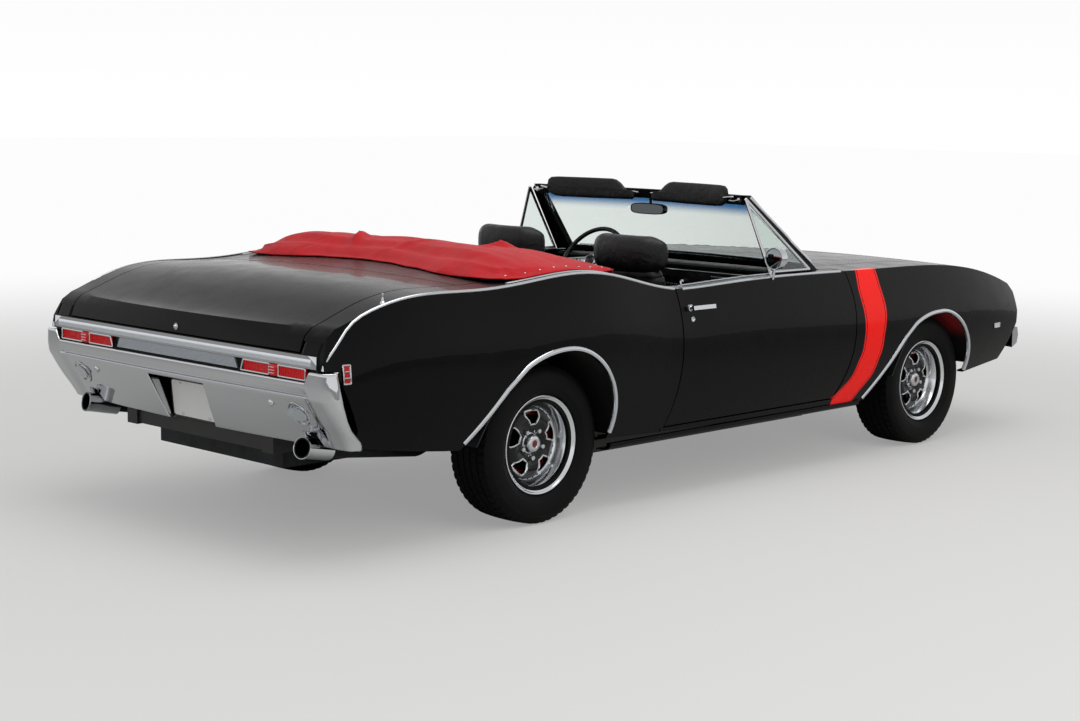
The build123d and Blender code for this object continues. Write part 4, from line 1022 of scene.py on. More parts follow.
seats = Workpiece("bucket_seats", vinyl, chrome)
rails = Workpiece("seat_rails", satin_black)
for sign in (1, -1):
    x = sign * 0.390
    # cushion, from its front edge back; half across, half through
    pad(seats, lofted(x, [(-0.232, 0.452, 0.150, 0, 0.030), (-0.238, 0.442, 0.192, 0, 0.062),
                          (-0.200, 0.432, 0.206, 0, 0.082), (-0.080, 0.420, 0.209, 0, 0.084),
                          (0.060, 0.408, 0.206, 0, 0.078), (0.150, 0.400, 0.190, 0, 0.066),
                          (0.160, 0.400, 0.120, 0, 0.030)]), groove=channels(6, 0.2, 0.86, 0.05))
    # back, from the cushion up to the shoulders, leaning rearward
    pad(seats, lofted(x, [(0.172, 0.400, 0.130, 0.022, 0), (0.176, 0.410, 0.186, 0.048, -0.01),
                          (0.190, 0.500, 0.204, 0.066, -0.014), (0.224, 0.680, 0.209, 0.070, -0.016),
                          (0.256, 0.840, 0.204, 0.062, -0.012), (0.280, 0.940, 0.194, 0.055, -0.010),
                          (0.290, 0.980, 0.168, 0.042, -0.006), (0.292, 0.990, 0.105, 0.016, 0)]),
        groove=channels(8, 0.16, 0.82, 0.05))
    # head restraint: a wide pad whose ends sweep forward
    ends = []
    for k in range(-6, 7):
        t = k / 6
        taper = 1 - 0.55 * max(0.0, abs(t) - 0.72) / 0.28
        ends.append(((x + 0.206 * t, 0.318 - 0.040 * t * t, 1.048), (0, 0, 0.085 * taper ** 0.5),
                     (0, 0.056 * taper, 0)))
    tips = [((x + dx, 0.277, 1.048), (0, 0, 0.034), (0, 0.012, 0)) for dx in (-0.215, 0.215)]
    ends = tips[:1] + ends + tips[1:]
    pad(seats, between(ends, 3), square=2.6)
    for dx in (-0.045, 0.045):
        seats.rod([(x + dx, 0.292, 0.955), (x + dx, 0.310, 1.010)], 0.007, 1, 12)
    # chromed plates each side of the hinge, and the release lever
    for side in (-1, 1):
        seats.turn([(0.0, 0.024), (0.004, 0.023), (0.006, 0.018), (0.006, 0.0)],
                   (x + side * 0.2055, 0.182, 0.470), (side, 0, 0), 1, 24)
        seats.rod([(x + side * 0.209, 0.182, 0.470), (x + side * 0.210, 0.205, 0.545),
                   (x + side * 0.209, 0.228, 0.610)], 0.006, 1, 10)
    for dx in (-0.150, 0.150):
        rails.block((x + dx - 0.014, -0.200, 0.311), (x + dx + 0.014, 0.170, 0.345))
        rails.block((x + dx - 0.010, -0.170, 0.340), (x + dx + 0.010, 0.130, 0.375))
        rails.rod([(x + dx, 0.150, 0.340), (x + dx, 0.165, 0.440)], 0.012, 0, 12)
seats = seats.make("body", sharp=60)
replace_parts(seats, "front_seats")
rails.make("body")

bench = Workpiece("rear_bench", vinyl)
for low, high in ((-0.584, -0.003), (0.003, 0.584)):
    x, half = (low + high) / 2, (high - low) / 2
    pad(bench, lofted(x, [(0.556, 0.500, half - 0.03, 0, 0.040), (0.552, 0.500, half, 0, 0.076),
                          (0.600, 0.505, half, 0, 0.096), (0.740, 0.485, half, 0, 0.090),
                          (0.900, 0.465, half, 0, 0.082), (0.940, 0.462, half - 0.03, 0, 0.050)]),
        square=6, groove=channels(5, 0.2, 0.9, 0.04))
    pad(bench, lofted(x, [(0.964, 0.560, half - 0.03, 0.030, 0), (0.968, 0.568, half, 0.054, -0.01),
                          (0.990, 0.680, half, 0.070, -0.012), (1.022, 0.820, half, 0.066, -0.010),
                          (1.050, 0.930, half, 0.050, -0.006), (1.054, 0.955, half - 0.03, 0.026, 0)]),
        square=6, groove=channels(7, 0.1, 0.9, 0.05))
bench = bench.make("body", sharp=60)
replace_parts(bench, "rear_seat")

# ---- sun visors ----
# Hardboard wrapped in thin foam and black vinyl, swung up over the windscreen header. Each has
# a rounded outer end and an inner end that slopes down to its pivot.
dress(vinyl, "visors", "dashboard", "inner_mirror")
header_skin = surface_of("windscreen_frame")
boards = Workpiece("sun_visors", vinyl, chrome)
for sign in (1, -1):
    # outline as (across, height), from the inner foot round the outer end
    outline = [(0.070, 1.2600), (0.300, 1.2560), (0.500, 1.2560), (0.545, 1.2590), (0.575, 1.2720),
               (0.588, 1.2950), (0.589, 1.3200), (0.584, 1.3420), (0.568, 1.3540), (0.530, 1.3575),
               (0.330, 1.3585), (0.200, 1.3585), (0.172, 1.3540), (0.146, 1.3400), (0.118, 1.3160),
               (0.088, 1.2980), (0.058, 1.2860), (0.056, 1.2680)]
    rim = []
    for here, after in zip(outline, outline[1:] + outline[:1]):
        rim += [Vector(here).lerp(Vector(after), t) for t in (0, 0.25, 0.5, 0.75)]
    middle = Vector((0.320, 1.307))
    for face in (1, -1):
        rows = []
        for inset, out in ((0.0, 0.0), (0.0012, 0.0040), (0.0035, 0.0075), (0.007, 0.0098), (0.016, 0.0116),
                           (0.030, 0.0124), (0.046, 0.0128)):
            row = []
            for point in rim:
                toward = middle - point
                move = min(1.0, inset / max(0.001, min(abs(toward.y) * 1.02, toward.length)))
                spot = point + Vector((toward.x * min(move, inset / max(0.05, abs(toward.x))), toward.y * move))
                hit = meet(header_skin, (sign * min(spot.x, 0.58), 1.0, 1.308), (0, -1, 0))
                row.append((sign * spot.x, hit.y + 0.0145 + face * out - 0.02 * max(0.0, spot.y - 1.31),
                            spot.y))
            rows.append(row)
        boards.skin(rows, 0, around=True)
        boards.lay(rows[-1], [tuple(range(len(rows[-1])))])
    boards.rod([(sign * 0.075, -0.262, 1.300), (sign * 0.040, -0.266, 1.296)], 0.005, 1, 10)
    # pivot bracket at the outer end
    boards.rod([(sign * 0.575, -0.168, 1.300), (sign * 0.604, -0.168, 1.304), (sign * 0.628, -0.178, 1.306)],
               0.005, 1, 10)
boards = boards.make("body", sharp=50)
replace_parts(boards, "visors")

# ---- windscreen surround ----
# The header and the posts are trimmed in black on the cabin side. Outside, polished stainless
# mouldings cover the glass edge, and two chromed latches take the roof's hooks.
trim_black = surfaced("flat_black_trim_paint", "#08080a", 0.62, 0.0, 900, 0.00005, specular=0.2)
dress(trim_black, "windscreen_frame")
frame_skin = surface_of("windscreen_frame")
surround = Workpiece("windscreen_mouldings", stainless, chrome)
for sign in (1, -1):
    post = []
    for k in range(15):
        t = k / 14
        x, y, z = 0.796 + (0.676 - 0.796) * t, -0.590 + (-0.208 + 0.590) * t, 0.972 + (1.306 - 0.972) * t
        hit = meet(frame_skin, (sign * (x + 0.3), y - 0.010, z), (-sign, 0, 0))
        post.append(hit + Vector((sign * 0.0012, 0, 0)) if hit is not None
                    else Vector((sign * (x + 0.016), y, z)))
    surround.rod(post, 0.0065, 0, 10, upright=(1, 0, 0), flat=0.55)
    front = []
    for k in range(15):
        t = k / 14
        x, y, z = 0.796 + (0.676 - 0.796) * t, -0.590 + (-0.208 + 0.590) * t, 0.972 + (1.300 - 0.972) * t
        hit = meet(frame_skin, (sign * (x - 0.004), y - 0.3, z), (0, 1, 0))
        front.append(hit + Vector((0, -0.0012, 0)) if hit is not None else Vector((sign * x, y - 0.024, z)))
    surround.rod(front, 0.0085, 0, 10, upright=(0, 1, 0), flat=0.5)
    latch = Vector((sign * 0.640, -0.186, 1.290))
    surround.rod([latch + Vector((-0.030, 0.008, 0.004)), latch + Vector((0.004, 0.016, -0.004)),
                  latch + Vector((0.030, 0.014, -0.002))], 0.0075, 1, 12, flat=0.6)
    surround.turn([(0.0, 0.013), (0.008, 0.012), (0.010, 0.008), (0.010, 0.0)],
                  latch + Vector((0.018 * sign, 0.0, 0)), (0, 1, 0), 1, 20)
for z, width in ((1.299, 0.640), (0.978, 0.740)):
    line = []
    for k in range(33):
        x = width * (-1 + k / 16)
        hit = meet(frame_skin, (x, -1.2, z), (0, 1, 0))
        if hit is not None:
            line.append(hit + Vector((0, -0.001, 0)))
    if len(line) > 2:
        surround.rod(line, 0.009, 0, 10, upright=(0, 1, 0), flat=0.5)
surround.make("body")
# black post covers, from each post back to the vent frame
covers = Workpiece("post_covers", satin_black)
for sign in (1, -1):
    rows = []
    for k in range(9):
        t = k / 8
        ahead = Vector((0.782 + (0.695 - 0.782) * t, -0.568 + (-0.194 + 0.568) * t,
                        0.956 + (1.306 - 0.956) * t))
        back = Vector((0.828 + (0.7005 - 0.828) * t, -0.512 + (-0.188 + 0.512) * t,
                       0.958 + (1.292 - 0.958) * t))
        inward = Vector((-0.008, 0.006, 0))
        middle = (ahead + back) / 2 + Vector((0.003, -0.003, 0.001))
        section = [ahead, middle, back, back + inward, middle + inward, ahead + inward]
        rows.append(sided(section, sign))
    covers.skin(rows, around=True, caps=True)
covers.make("body", sharp=40)

# ---- steering wheel ----
# A hard rubber rim with finger grips, three brushed spokes with slots, and a plain domed hub cap.
spoke_metal = surfaced("brushed_steel_spoke", "#b9bcc0", 0.28, 1.0, 500, 0.00002)
hub_at, rake = Vector((0.370, -0.291, 0.921)), radians(30)
column_axis = Vector((0, cos(rake), sin(rake)))
side_way, up_way = Vector((1, 0, 0)), Vector((0, -sin(rake), cos(rake)))
helm = Workpiece("wheel_with_grips", satin_black, spoke_metal, chrome)
rows = []
for k in range(144):
    angle = 2 * pi * k / 144
    radial = cos(angle) * side_way + sin(angle) * up_way
    row = []
    for j in range(14):
        turn = 2 * pi * j / 14
        grip = 0.0118 - (0.0012 * (0.5 + 0.5 * cos(angle * 72)) if cos(turn) < 0 else 0)
        row.append(hub_at + radial * (0.195 + grip * cos(turn)) + column_axis * (grip * sin(turn)))
    rows.append(row)
helm.skin(rows, 0, around=True, along=True)
for angle in (0.0, pi, -pi / 2):
    radial = cos(angle) * side_way + sin(angle) * up_way
    over = column_axis.cross(radial)
    rows = []
    for reach, half, lift in ((0.030, 0.026, 0.014), (0.060, 0.024, 0.012), (0.120, 0.019, 0.006),
                              (0.170, 0.016, 0.001), (0.188, 0.015, 0.0)):
        rows.append([hub_at + radial * reach + over * (half * a) + column_axis * (lift + 0.0035 * b)
                     for a, b in ((-1, -0.4), (-0.9, 0.6), (-0.55, 1), (-0.45, 0.3), (0.45, 0.3), (0.55, 1),
                                  (0.9, 0.6), (1, -0.4))])
    helm.skin(rows, 1, around=True, caps=True)
    for out in (0.075, 0.100, 0.125, 0.150):
        helm.rod([hub_at + radial * out + over * -0.008 + column_axis * 0.0105,
                  hub_at + radial * out + over * 0.008 + column_axis * 0.0105], 0.0035, 0, 8)
helm.turn([(-0.020, 0.0), (-0.020, 0.040), (0.006, 0.044), (0.016, 0.043), (0.020, 0.038)], hub_at, column_axis,
          0, 48)
helm.turn([(0.020, 0.038), (0.0245, 0.036), (0.0250, 0.033), (0.0225, 0.031)], hub_at, column_axis, 2, 48)
helm.turn([(0.0225, 0.031), (0.029, 0.020), (0.031, 0.0)], hub_at, column_axis, 0, 48)
helm = helm.make("steering_wheel", sharp=40)
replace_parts(helm, "steering_wheel")

# ---- dashboard details ----
# A black padded crash roll over a face with three round dials, a radio with five keys and a
# glove box, edged in thin bright lines. The dials carry plain ticks only.
dial_white = surfaced("printed_dial_ticks", "#d8d8d2", 0.5, 0.0, 400, 0.00001)
dash_skin = surface_of("dashboard")


def on_dash(x, z):
    """The dash face's point behind a place seen from the cabin."""
    hit = meet(dash_skin, (x, 0.2, z), (0, -1, 0))
    return hit if hit is not None else Vector((x, -0.5, z))


roll = Workpiece("crash_roll", vinyl)
pad(roll, between([((-0.780, -0.530, 0.934), (0, 0.010, 0), (0, 0, 0.006)),
                   ((-0.776, -0.530, 0.933), (0, 0.050, 0), (0, 0, 0.014)),
                   ((-0.400, -0.526, 0.934), (0, 0.056, 0), (0, 0, 0.016)),
                   ((0.0, -0.524, 0.934), (0, 0.058, 0), (0, 0, 0.016)),
                   ((0.400, -0.526, 0.936), (0, 0.058, 0), (0, 0, 0.018)),
                   ((0.776, -0.530, 0.933), (0, 0.050, 0), (0, 0, 0.014)),
                   ((0.780, -0.530, 0.934), (0, 0.010, 0), (0, 0, 0.006))], 8), sides=28, square=2.6)
roll = roll.make("body", sharp=60)
face = Workpiece("dash_instruments", satin_black, chrome, dial_white, stainless)
for x, size in ((0.270, 0.050), (0.390, 0.050), (0.500, 0.042)):
    seat = on_dash(x, 0.848)
    out = Vector((0, 1, 0.12)).normalized()
    face.turn([(-0.010, size + 0.007), (0.006, size + 0.006), (0.009, size + 0.003), (0.006, size),
               (0.001, size - 0.002)], seat, out, 1, 48)
    face.turn([(0.001, size - 0.002), (0.001, 0.0)], seat, out, 0, 48)
    across_dial, up_dial = Vector((1, 0, 0)), out.cross(Vector((1, 0, 0)))
    for k in range(13):
        angle = radians(-30 + 240 * k / 12)
        ray = cos(angle) * across_dial - sin(angle) * up_dial
        face.rod([seat + ray * (size * 0.66) + out * 0.0022, seat + ray * (size * 0.86) + out * 0.0022], 0.0011,
                 2, 6)
    ray = cos(radians(160)) * across_dial - sin(radians(160)) * up_dial
    face.rod([seat + out * 0.003, seat + ray * (size * 0.78) + out * 0.003], 0.0013, 2, 6)
for z in (0.905, 0.782):
    line = [on_dash(-0.770 + 1.54 * k / 30, z) + Vector((0, 0.001, 0)) for k in range(31)]
    face.rod(line, 0.004, 3, 8, upright=(0, 1, 0), flat=0.6)
for a, b in (((-0.56, 0.810), (-0.26, 0.810)), ((-0.26, 0.810), (-0.26, 0.885)),
             ((-0.26, 0.885), (-0.56, 0.885)), ((-0.56, 0.885), (-0.56, 0.810))):
    face.rod([on_dash(*a) + Vector((0, 0.001, 0)), on_dash(*b) + Vector((0, 0.001, 0))], 0.0025, 3, 8,
             upright=(0, 1, 0), flat=0.6)
face.turn([(0.0, 0.010), (0.010, 0.009), (0.012, 0.0)], on_dash(-0.41, 0.868), (0, 1, 0.1), 1, 20)
radio = on_dash(0.02, 0.845)
face.block((radio.x - 0.085, radio.y - 0.008, 0.818), (radio.x + 0.085, radio.y + 0.005, 0.872), 0)
for dx in (-0.098, 0.098):
    face.turn([(-0.002, 0.014), (0.014, 0.012), (0.016, 0.008), (0.016, 0.0)], (radio.x + dx, radio.y, 0.845),
              (0, 1, 0.1), 1, 20)
for k in range(5):
    face.block((radio.x - 0.062 + k * 0.026, radio.y + 0.004, 0.824),
               (radio.x - 0.044 + k * 0.026, radio.y + 0.011, 0.834), 1)
face.rod([(0.305, -0.330, 0.880), (0.250, -0.322, 0.893), (0.205, -0.318, 0.905)], 0.004, 1, 8)
face.make("body", bevel=0.0006)

# ---- carpet, console and pedals ----
# Looped nylon carpet laid on the floor at each side of the tunnel, a padded console with the
# selector on it, and two pedals on bent arms.
carpet, tree, shader = new_material("looped_nylon_carpet", "#131314", 0.95)
shader.inputs["Sheen Weight"].default_value = 0.3
where = bumps(tree, shader, 330, 0.0015, 2.0)
tufts = clouds(tree, where, 60.0, 4.0)
tinted(tree, shader, tufts, "#0b0b0c", "#232325")
mat = Workpiece("carpet_left", carpet)
rows = []
for k in range(42):
    y = -0.700 + (0.940 + 0.700) * k / 41
    inner = 0.176 if y < -0.300 else 0.138
    rows.append([(x, y, 0.3115 + (0.004 if inner + 0.002 < x < 0.77 else 0.0))
                 for x in (inner, inner + 0.004, inner + 0.1, 0.4, 0.6, 0.76, 0.780)])
mat.skin(rows)
mat.mirrored("carpet_right").make("body")
mat.make("body")
console = Workpiece("console_and_selector", vinyl, chrome, satin_black)
pad(console, between([((0, -0.420, 0.600), (0.030, 0, 0), (0, 0, 0.006)),
                      ((0, -0.428, 0.602), (0.085, 0, 0), (0, 0, 0.026)),
                      ((0, -0.330, 0.602), (0.090, 0, 0), (0, 0, 0.030)),
                      ((0, -0.270, 0.560), (0.090, 0, 0), (0, 0.02, 0.060)),
                      ((0, -0.200, 0.480), (0.088, 0, 0), (0, 0, 0.060)),
                      ((0, 0.100, 0.470), (0.086, 0, 0), (0, 0, 0.050)),
                      ((0, 0.330, 0.480), (0.086, 0, 0), (0, 0, 0.062)),
                      ((0, 0.345, 0.480), (0.040, 0, 0), (0, 0, 0.030))], 6), square=4)
console.rod([(0, -0.330, 0.630), (0, -0.315, 0.700), (0, -0.290, 0.752)], 0.007, 1, 12)
console.turn([(-0.022, 0.0), (-0.020, 0.012), (-0.005, 0.021), (0.010, 0.021), (0.020, 0.014), (0.024, 0.0)],
             (0, -0.286, 0.760), (0, 0.4, 1), 2, 32)
console = console.make("body", sharp=50)
pedals = Workpiece("pedals", satin_black, stainless)
for x, wide, tall, z in ((0.330, 0.055, 0.055, 0.430), (0.215, 0.024, 0.110, 0.400)):
    pedals.block((x - wide, -0.640, z - tall / 2), (x + wide, -0.628, z + tall / 2), 0)
    pedals.rod([(x, -0.640, z), (x, -0.690, z + 0.120), (x, -0.745, z + 0.300)], 0.008, 1, 10)
pedals.make("body", bevel=0.002)


# ---- cover over the folded roof ----
# Red coated cloth, cut flat and pulled over the folded roof, with a corded hem snapped down round
# the well. It sits over the bows in shallow waves, with a standing fold and a peak at the front.
red_cloth, tree, shader = new_material("red_coated_cloth", "#b30f18", 0.6)
shader.inputs["Sheen Weight"].default_value = 0.06
shader.inputs["Specular IOR Level"].default_value = 0.15
where = add(tree, "ShaderNodeTexCoord")
# the cloth has about 20 threads to the centimetre; drawn at 3 mm so that the weave shows
weave = maths(tree, "MAXIMUM", waves(tree, where, 105.0, "X"), waves(tree, where, 105.0, "Y"))
slack = clouds(tree, where, 7.0, 5.0, Distortion=0.8)
height = maths(tree, "MULTIPLY_ADD", slack, 0.012, maths(tree, "MULTIPLY", weave, 0.0003))
relief(tree, shader, height, strength=0.9)
tinted(tree, shader, slack, "#960a12", "#bd1019")

deck_skin = surface_of("quarter_left", "quarter_right", "deck_panel", "trunk_lid")


def along_table(table, at):
    """A value between the rows of a table of (place, value), with smooth joins."""
    if at <= table[0][0]:
        return table[0][1]
    for (a, va), (b, vb) in zip(table, table[1:]):
        if at <= b:
            t = (at - a) / (b - a)
            return va + (vb - va) * t * t * (3 - 2 * t)
    return table[-1][1]


# where the rear hem lies across the car, and how wide and how high the cloth is along it
REAR_HEM = ((-0.834, 1.540), (-0.779, 1.585), (-0.650, 1.598), (-0.516, 1.594), (-0.300, 1.556),
            (-0.100, 1.520), (0.078, 1.508), (0.300, 1.520), (0.550, 1.546), (0.767, 1.556), (0.834, 1.540))
HALF_WIDTH = ((0.0, 0.815), (0.12, 0.832), (0.35, 0.846), (0.62, 0.854), (0.85, 0.850), (1.0, 0.834))
CROWN = ((0.0, 1.058), (0.05, 1.082), (0.18, 1.098), (0.34, 1.108), (0.52, 1.120), (0.64, 1.131), (0.74, 1.124),
         (0.86, 1.088), (1.0, 1.050))
COVER_FRONT = 0.8725
# the standing fold behind the ridge, two slack ones, and a short peak near the front edge: a point on
# each, its slant, height, half width and sharpness, then its middle and how far it reaches along the car
FOLDS = ((0.300, 1.332, 0.55, 0.034, 0.055, 1.6, 1.330, 0.12),
         (-0.110, 1.30, -0.8, 0.007, 0.040, 1, 1.36, 0.16), (-0.420, 1.2, -0.5, 0.006, 0.035, 1, 1.22, 0.2),
         (-0.255, 0.98, -0.6, 0.034, 0.060, 1.3, 0.985, 0.10))
across_count, along_count = 121, 67
rows = []
for j in range(along_count):
    v = j / (along_count - 1)
    row = []
    for i in range(across_count):
        u = -1 + 2 * i / (across_count - 1)
        half = along_table(HALF_WIDTH, v)
        x = half * u
        y = COVER_FRONT + (along_table(REAR_HEM, x) - COVER_FRONT) * v
        fall = 1 - abs(u) ** (9.0 if u > 0 else 3.6 + 1.6 * v)
        lie = 1.052 - 0.016 * (1 - v) ** 2
        hit = meet(deck_skin, (x, y, OVERHEAD), (0, 0, -1))
        if hit is None:
            hit = meet(deck_skin, (x * 0.975, y, OVERHEAD), (0, 0, -1))
        if hit is not None:
            lie = max(hit.z + 0.0035, 1.030) if abs(u) > 0.9 or v > 0.9 else lie
        crest = along_table(CROWN, v) + 0.004 * sin(9.0 * u + 2.0 * v) + 0.003 * sin(23 * v + 5 * u)
        z = lie + max(0.0, crest - lie) * fall * (1 - max(0.0, (v - 0.93) / 0.07) ** 2)
        # waves between the snaps, strongest just inside the hem
        near = max(0.0, 1 - abs(1 - v) * 5) + max(0.0, 1 - (1 - abs(u)) * 6)
        pinned = min(1.0, (1 - v) * 30 + 0.15)
        z += 0.0035 * near * max(0.0, sin(x * 38 + y * 17)) * pinned * min(1.0, (1 - abs(u)) * 30)
        for across, along, slant, tall, half_wide, sharpness, middle, reach in FOLDS:
            off = (x - across) + (y - along) * slant
            z += tall * max(0.0, 1 - abs(off) / half_wide) ** sharpness * max(0.0, 1 - abs(y - middle) / reach)
        row.append(Vector((x, y, z)))
    rows.append(row)
# the front edge turns down behind the bench
front = []
for depth, step in ((0.060, -0.002), (0.030, -0.003), (0.010, -0.002)):
    front.append([Vector((p.x, COVER_FRONT + step, min(p.z - 0.002, max(p.z - depth, 0.985))))
                  for p in rows[0]])
rows = front + rows
cover = Workpiece("roof_cover", red_cloth)
cover.skin(rows)
cover = cover.make("body", sharp=180)
thick = cover.modifiers.new("thickness", "SOLIDIFY")
thick.thickness, thick.offset = 0.0024, -1.0
hem = Workpiece("cover_hem", red_cloth)
edge = [row[0] for row in rows[3:]] + rows[-1][1:-1] + [row[-1] for row in reversed(rows[3:])]
edge = [p + Vector((0, 0, 0.001)) for p in edge]
hem.rod(edge, 0.0042, 0, 8, flat=0.8)
hem = hem.make("body", sharp=180)
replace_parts(cover, "top_cover")
# chromed snap fasteners and the bright moulding they sit on, round the well
belt = Workpiece("well_moulding_left", stainless, chrome)
line = ((0.862, 1.560), (0.870, 1.470), (0.874, 1.330), (0.872, 1.200), (0.866, 1.080), (0.858, 0.980),
        (0.850, 0.900), (0.842, 0.830), (0.834, 0.760), (0.826, 0.690), (0.821, 0.620), (0.8195, 0.556))
dense = []
for (x0, y0), (x1, y1) in zip(line, line[1:]):
    dense += [(x0 + (x1 - x0) * t / 4, y0 + (y1 - y0) * t / 4) for t in range(4)]
dense.append(line[-1])
path = []
for x, y in dense:
    hit = meet(deck_skin, (x, y, OVERHEAD), (0, 0, -1))
    if hit is not None:
        path.append(hit + Vector((0, 0, 0.001)))
path = smoothed(path)
belt.rod(path, 0.0075, 0, 10, flat=0.55)
belt.mirrored("well_moulding_right").make("body")
belt.make("body")
snaps = Workpiece("cover_snaps", chrome)
for k in range(8):
    for sign in (1, -1):
        v = 0.08 + 0.86 * k / 7
        row = rows[3 + int(v * (along_count - 1))]
        at = row[2 if sign < 0 else -3]
        snaps.turn([(-0.002, 0.0050), (0.0016, 0.0046), (0.0026, 0.0030), (0.0029, 0.0)],
                   at + Vector((0, 0, 0.001)), (sign * 0.25, 0, 1), 0, 16)
snaps.make("body")


# ---- door fittings ----
# Bright belt strip along the window slot, chromed pull handle with its button and lock barrel,
# a round mirror, and inside a ribbed vinyl trim panel with armrest, crank and lock knob.
mirror_glass = surfaced("silvered_mirror_glass", "#8f9497", 0.01, 1.0, 3, 0.0001)
door_skin = surface_of("door_left")


def on_door(y, z):
    """The left door's outer skin at a place in the side view."""
    return meet(door_skin, (BESIDE, y, z), (-1, 0, 0))


door_trim = Workpiece("door_fittings_left", stainless, chrome, vinyl, satin_black)
line = []
for k in range(37):
    y = 0.548 - (0.548 + 0.500) * k / 36
    hit = meet(door_skin, (0.8245, y, 1.2), (0, 0, -1))
    if hit is not None:
        line.append(hit + Vector((0, 0, 0.001)))
door_trim.rod(smoothed(line), 0.0065, 0, 10, flat=0.55)
button = on_door(0.472, 0.850)
door_trim.turn([(-0.002, 0.016), (0.006, 0.015), (0.008, 0.011), (0.010, 0.0105), (0.014, 0.0095),
                (0.015, 0.0)], button, (1, 0, 0), 1, 28)
lock_at = on_door(0.462, 0.800)
door_trim.turn([(-0.001, 0.0125), (0.003, 0.0122), (0.005, 0.010), (0.0045, 0.006), (0.0035, 0.0)], lock_at,
               (1, 0, 0.1), 1, 28)
# trim panel inside: one vinyl board, ribbed in its middle, with a rolled armrest
rows = []
for i in range(64):
    y = -0.600 + 1.100 * i / 63
    row = []
    for j in range(19):
        z = 0.400 + 0.510 * j / 18
        hit = meet(door_skin, (0.60, y, z), (1, 0, 0))
        base = hit.x if hit is not None else 0.84
        rib = 0.0035 * abs(sin(i * pi / 3)) if 6 <= j <= 12 and 5 < i < 58 else 0.002
        row.append((min(base, 0.852) - 0.004 - rib - (0.003 if 0 < i < 63 and 0 < j < 18 else -0.003), y, z))
    rows.append(row)
door_trim.skin(rows, 2)
door_trim.rod([(0.815, -0.250, 0.688), (0.802, -0.235, 0.690), (0.798, -0.100, 0.692), (0.798, 0.120, 0.692),
               (0.802, 0.255, 0.690), (0.815, 0.270, 0.688)], 0.027, 2, 20, flat=0.75)
for z in (0.565, 0.745):
    door_trim.rod([(0.8395, -0.560, z), (0.8395, 0.0, z), (0.8395, 0.460, z)], 0.0035, 0, 8, flat=1.0)
crank = Vector((0.836, 0.020, 0.610))
door_trim.turn([(-0.004, 0.022), (0.006, 0.021), (0.010, 0.014), (0.010, 0.0)], crank, (-1, 0, 0), 1, 24)
door_trim.rod([crank + Vector((-0.008, 0, 0)), crank + Vector((-0.020, -0.05, -0.02)),
               crank + Vector((-0.020, -0.105, -0.045))], 0.006, 1, 10)
door_trim.turn([(0.0, 0.010), (0.004, 0.013), (0.024, 0.012), (0.028, 0.0)],
               crank + Vector((-0.020, -0.105, -0.045)), (-1, 0, 0), 3, 20)
door_trim.rod([(0.838, -0.300, 0.760), (0.826, -0.290, 0.762), (0.824, -0.220, 0.764)], 0.006, 1, 10)
# lock knob on the sill
hit = meet(door_skin, (0.832, 0.440, 1.2), (0, 0, -1))
if hit is not None:
    door_trim.turn([(-0.002, 0.007), (0.002, 0.0065), (0.003, 0.004), (0.018, 0.0045), (0.022, 0.003),
                    (0.023, 0.0)],
                   hit, (0, 0, 1), 1, 16)
door_trim.mirrored("door_fittings_right").make("door_right", bevel=0.0)
door_trim.make("door_left")
for side, sign in (("left", 1), ("right", -1)):
    glass = Workpiece(f"mirror_glass_{side}", mirror_glass, chrome)
    head = Vector((sign * 0.915, -0.126, 1.036))
    glass.turn([(0.0005, 0.047), (0.0022, 0.044), (0.0026, 0.0)], head, (0, 1, 0), 0, 48)
    glass.turn([(-0.002, 0.0525), (0.003, 0.0520), (0.004, 0.0495), (0.003, 0.047), (0.0, 0.046)], head,
               (0, 1, 0), 1, 48)
    glass.turn([(0.0, 0.052), (-0.010, 0.050), (-0.018, 0.040), (-0.023, 0.024), (-0.0245, 0.0)],
               (sign * 0.915, -0.154, 1.036), (0, 1, 0), 1, 48)
    glass.make(f"door_{side}")

# ---- antenna and side lamps ----
# A short chromed mast stub on the rear quarter, and lamps in die-cast frames.
stub = Workpiece("antenna_stub", chrome, satin_black)
hit = meet(surface_of("quarter_right"), (-0.873, 2.223, OVERHEAD), (0, 0, -1))
if hit is not None:
    stub.turn([(-0.003, 0.011), (0.003, 0.0105), (0.006, 0.007), (0.012, 0.0045), (0.020, 0.0035),
               (0.030, 0.003), (0.034, 0.0038), (0.037, 0.0028), (0.038, 0.0)], hit, (0, 0, 1), 0, 24)
    stub.make("body")
red_marker_skin = surface_of("side_markers")
for sign, side in ((1, "left"), (-1, "right")):
    marks = Workpiece(f"side_lamp_frames_{side}", chrome)
    for y0, y1, z0, z1 in ((2.4245, 2.4555, 0.7025, 0.7715), (-2.1555, -2.0965, 0.5715, 0.5925)):
        loop = []
        corners = [(y0, z0), (y1, z0), (y1, z1), (y0, z1)]
        for k, corner in enumerate(corners):
            after = corners[(k + 1) % 4]
            for t in (0.04, 0.12, 0.5, 0.88, 0.96):
                y, z = corner[0] + (after[0] - corner[0]) * t, corner[1] + (after[1] - corner[1]) * t
                yy = (y0 + y1) / 2 + (y - (y0 + y1) / 2) * 0.9
                zz = (z0 + z1) / 2 + (z - (z0 + z1) / 2) * 0.9
                hit = meet(red_marker_skin, (sign * BESIDE, yy, zz), (-sign, 0, 0))
                loop.append(Vector((hit.x if hit is not None else sign * 0.915, y, z)))
        marks.rod(loop, 0.0034, 0, 8, closed=True, upright=(1, 0, 0))
        if y0 > 0:
            for dz in (-0.012, 0.012):
                loop = [Vector((sign * 0.9305, y, (z0 + z1) / 2 + dz)) for y in (y0, (y0 + y1) / 2, y1)]
                marks.rod(loop, 0.0022, 0, 8)
    marks.make("body")


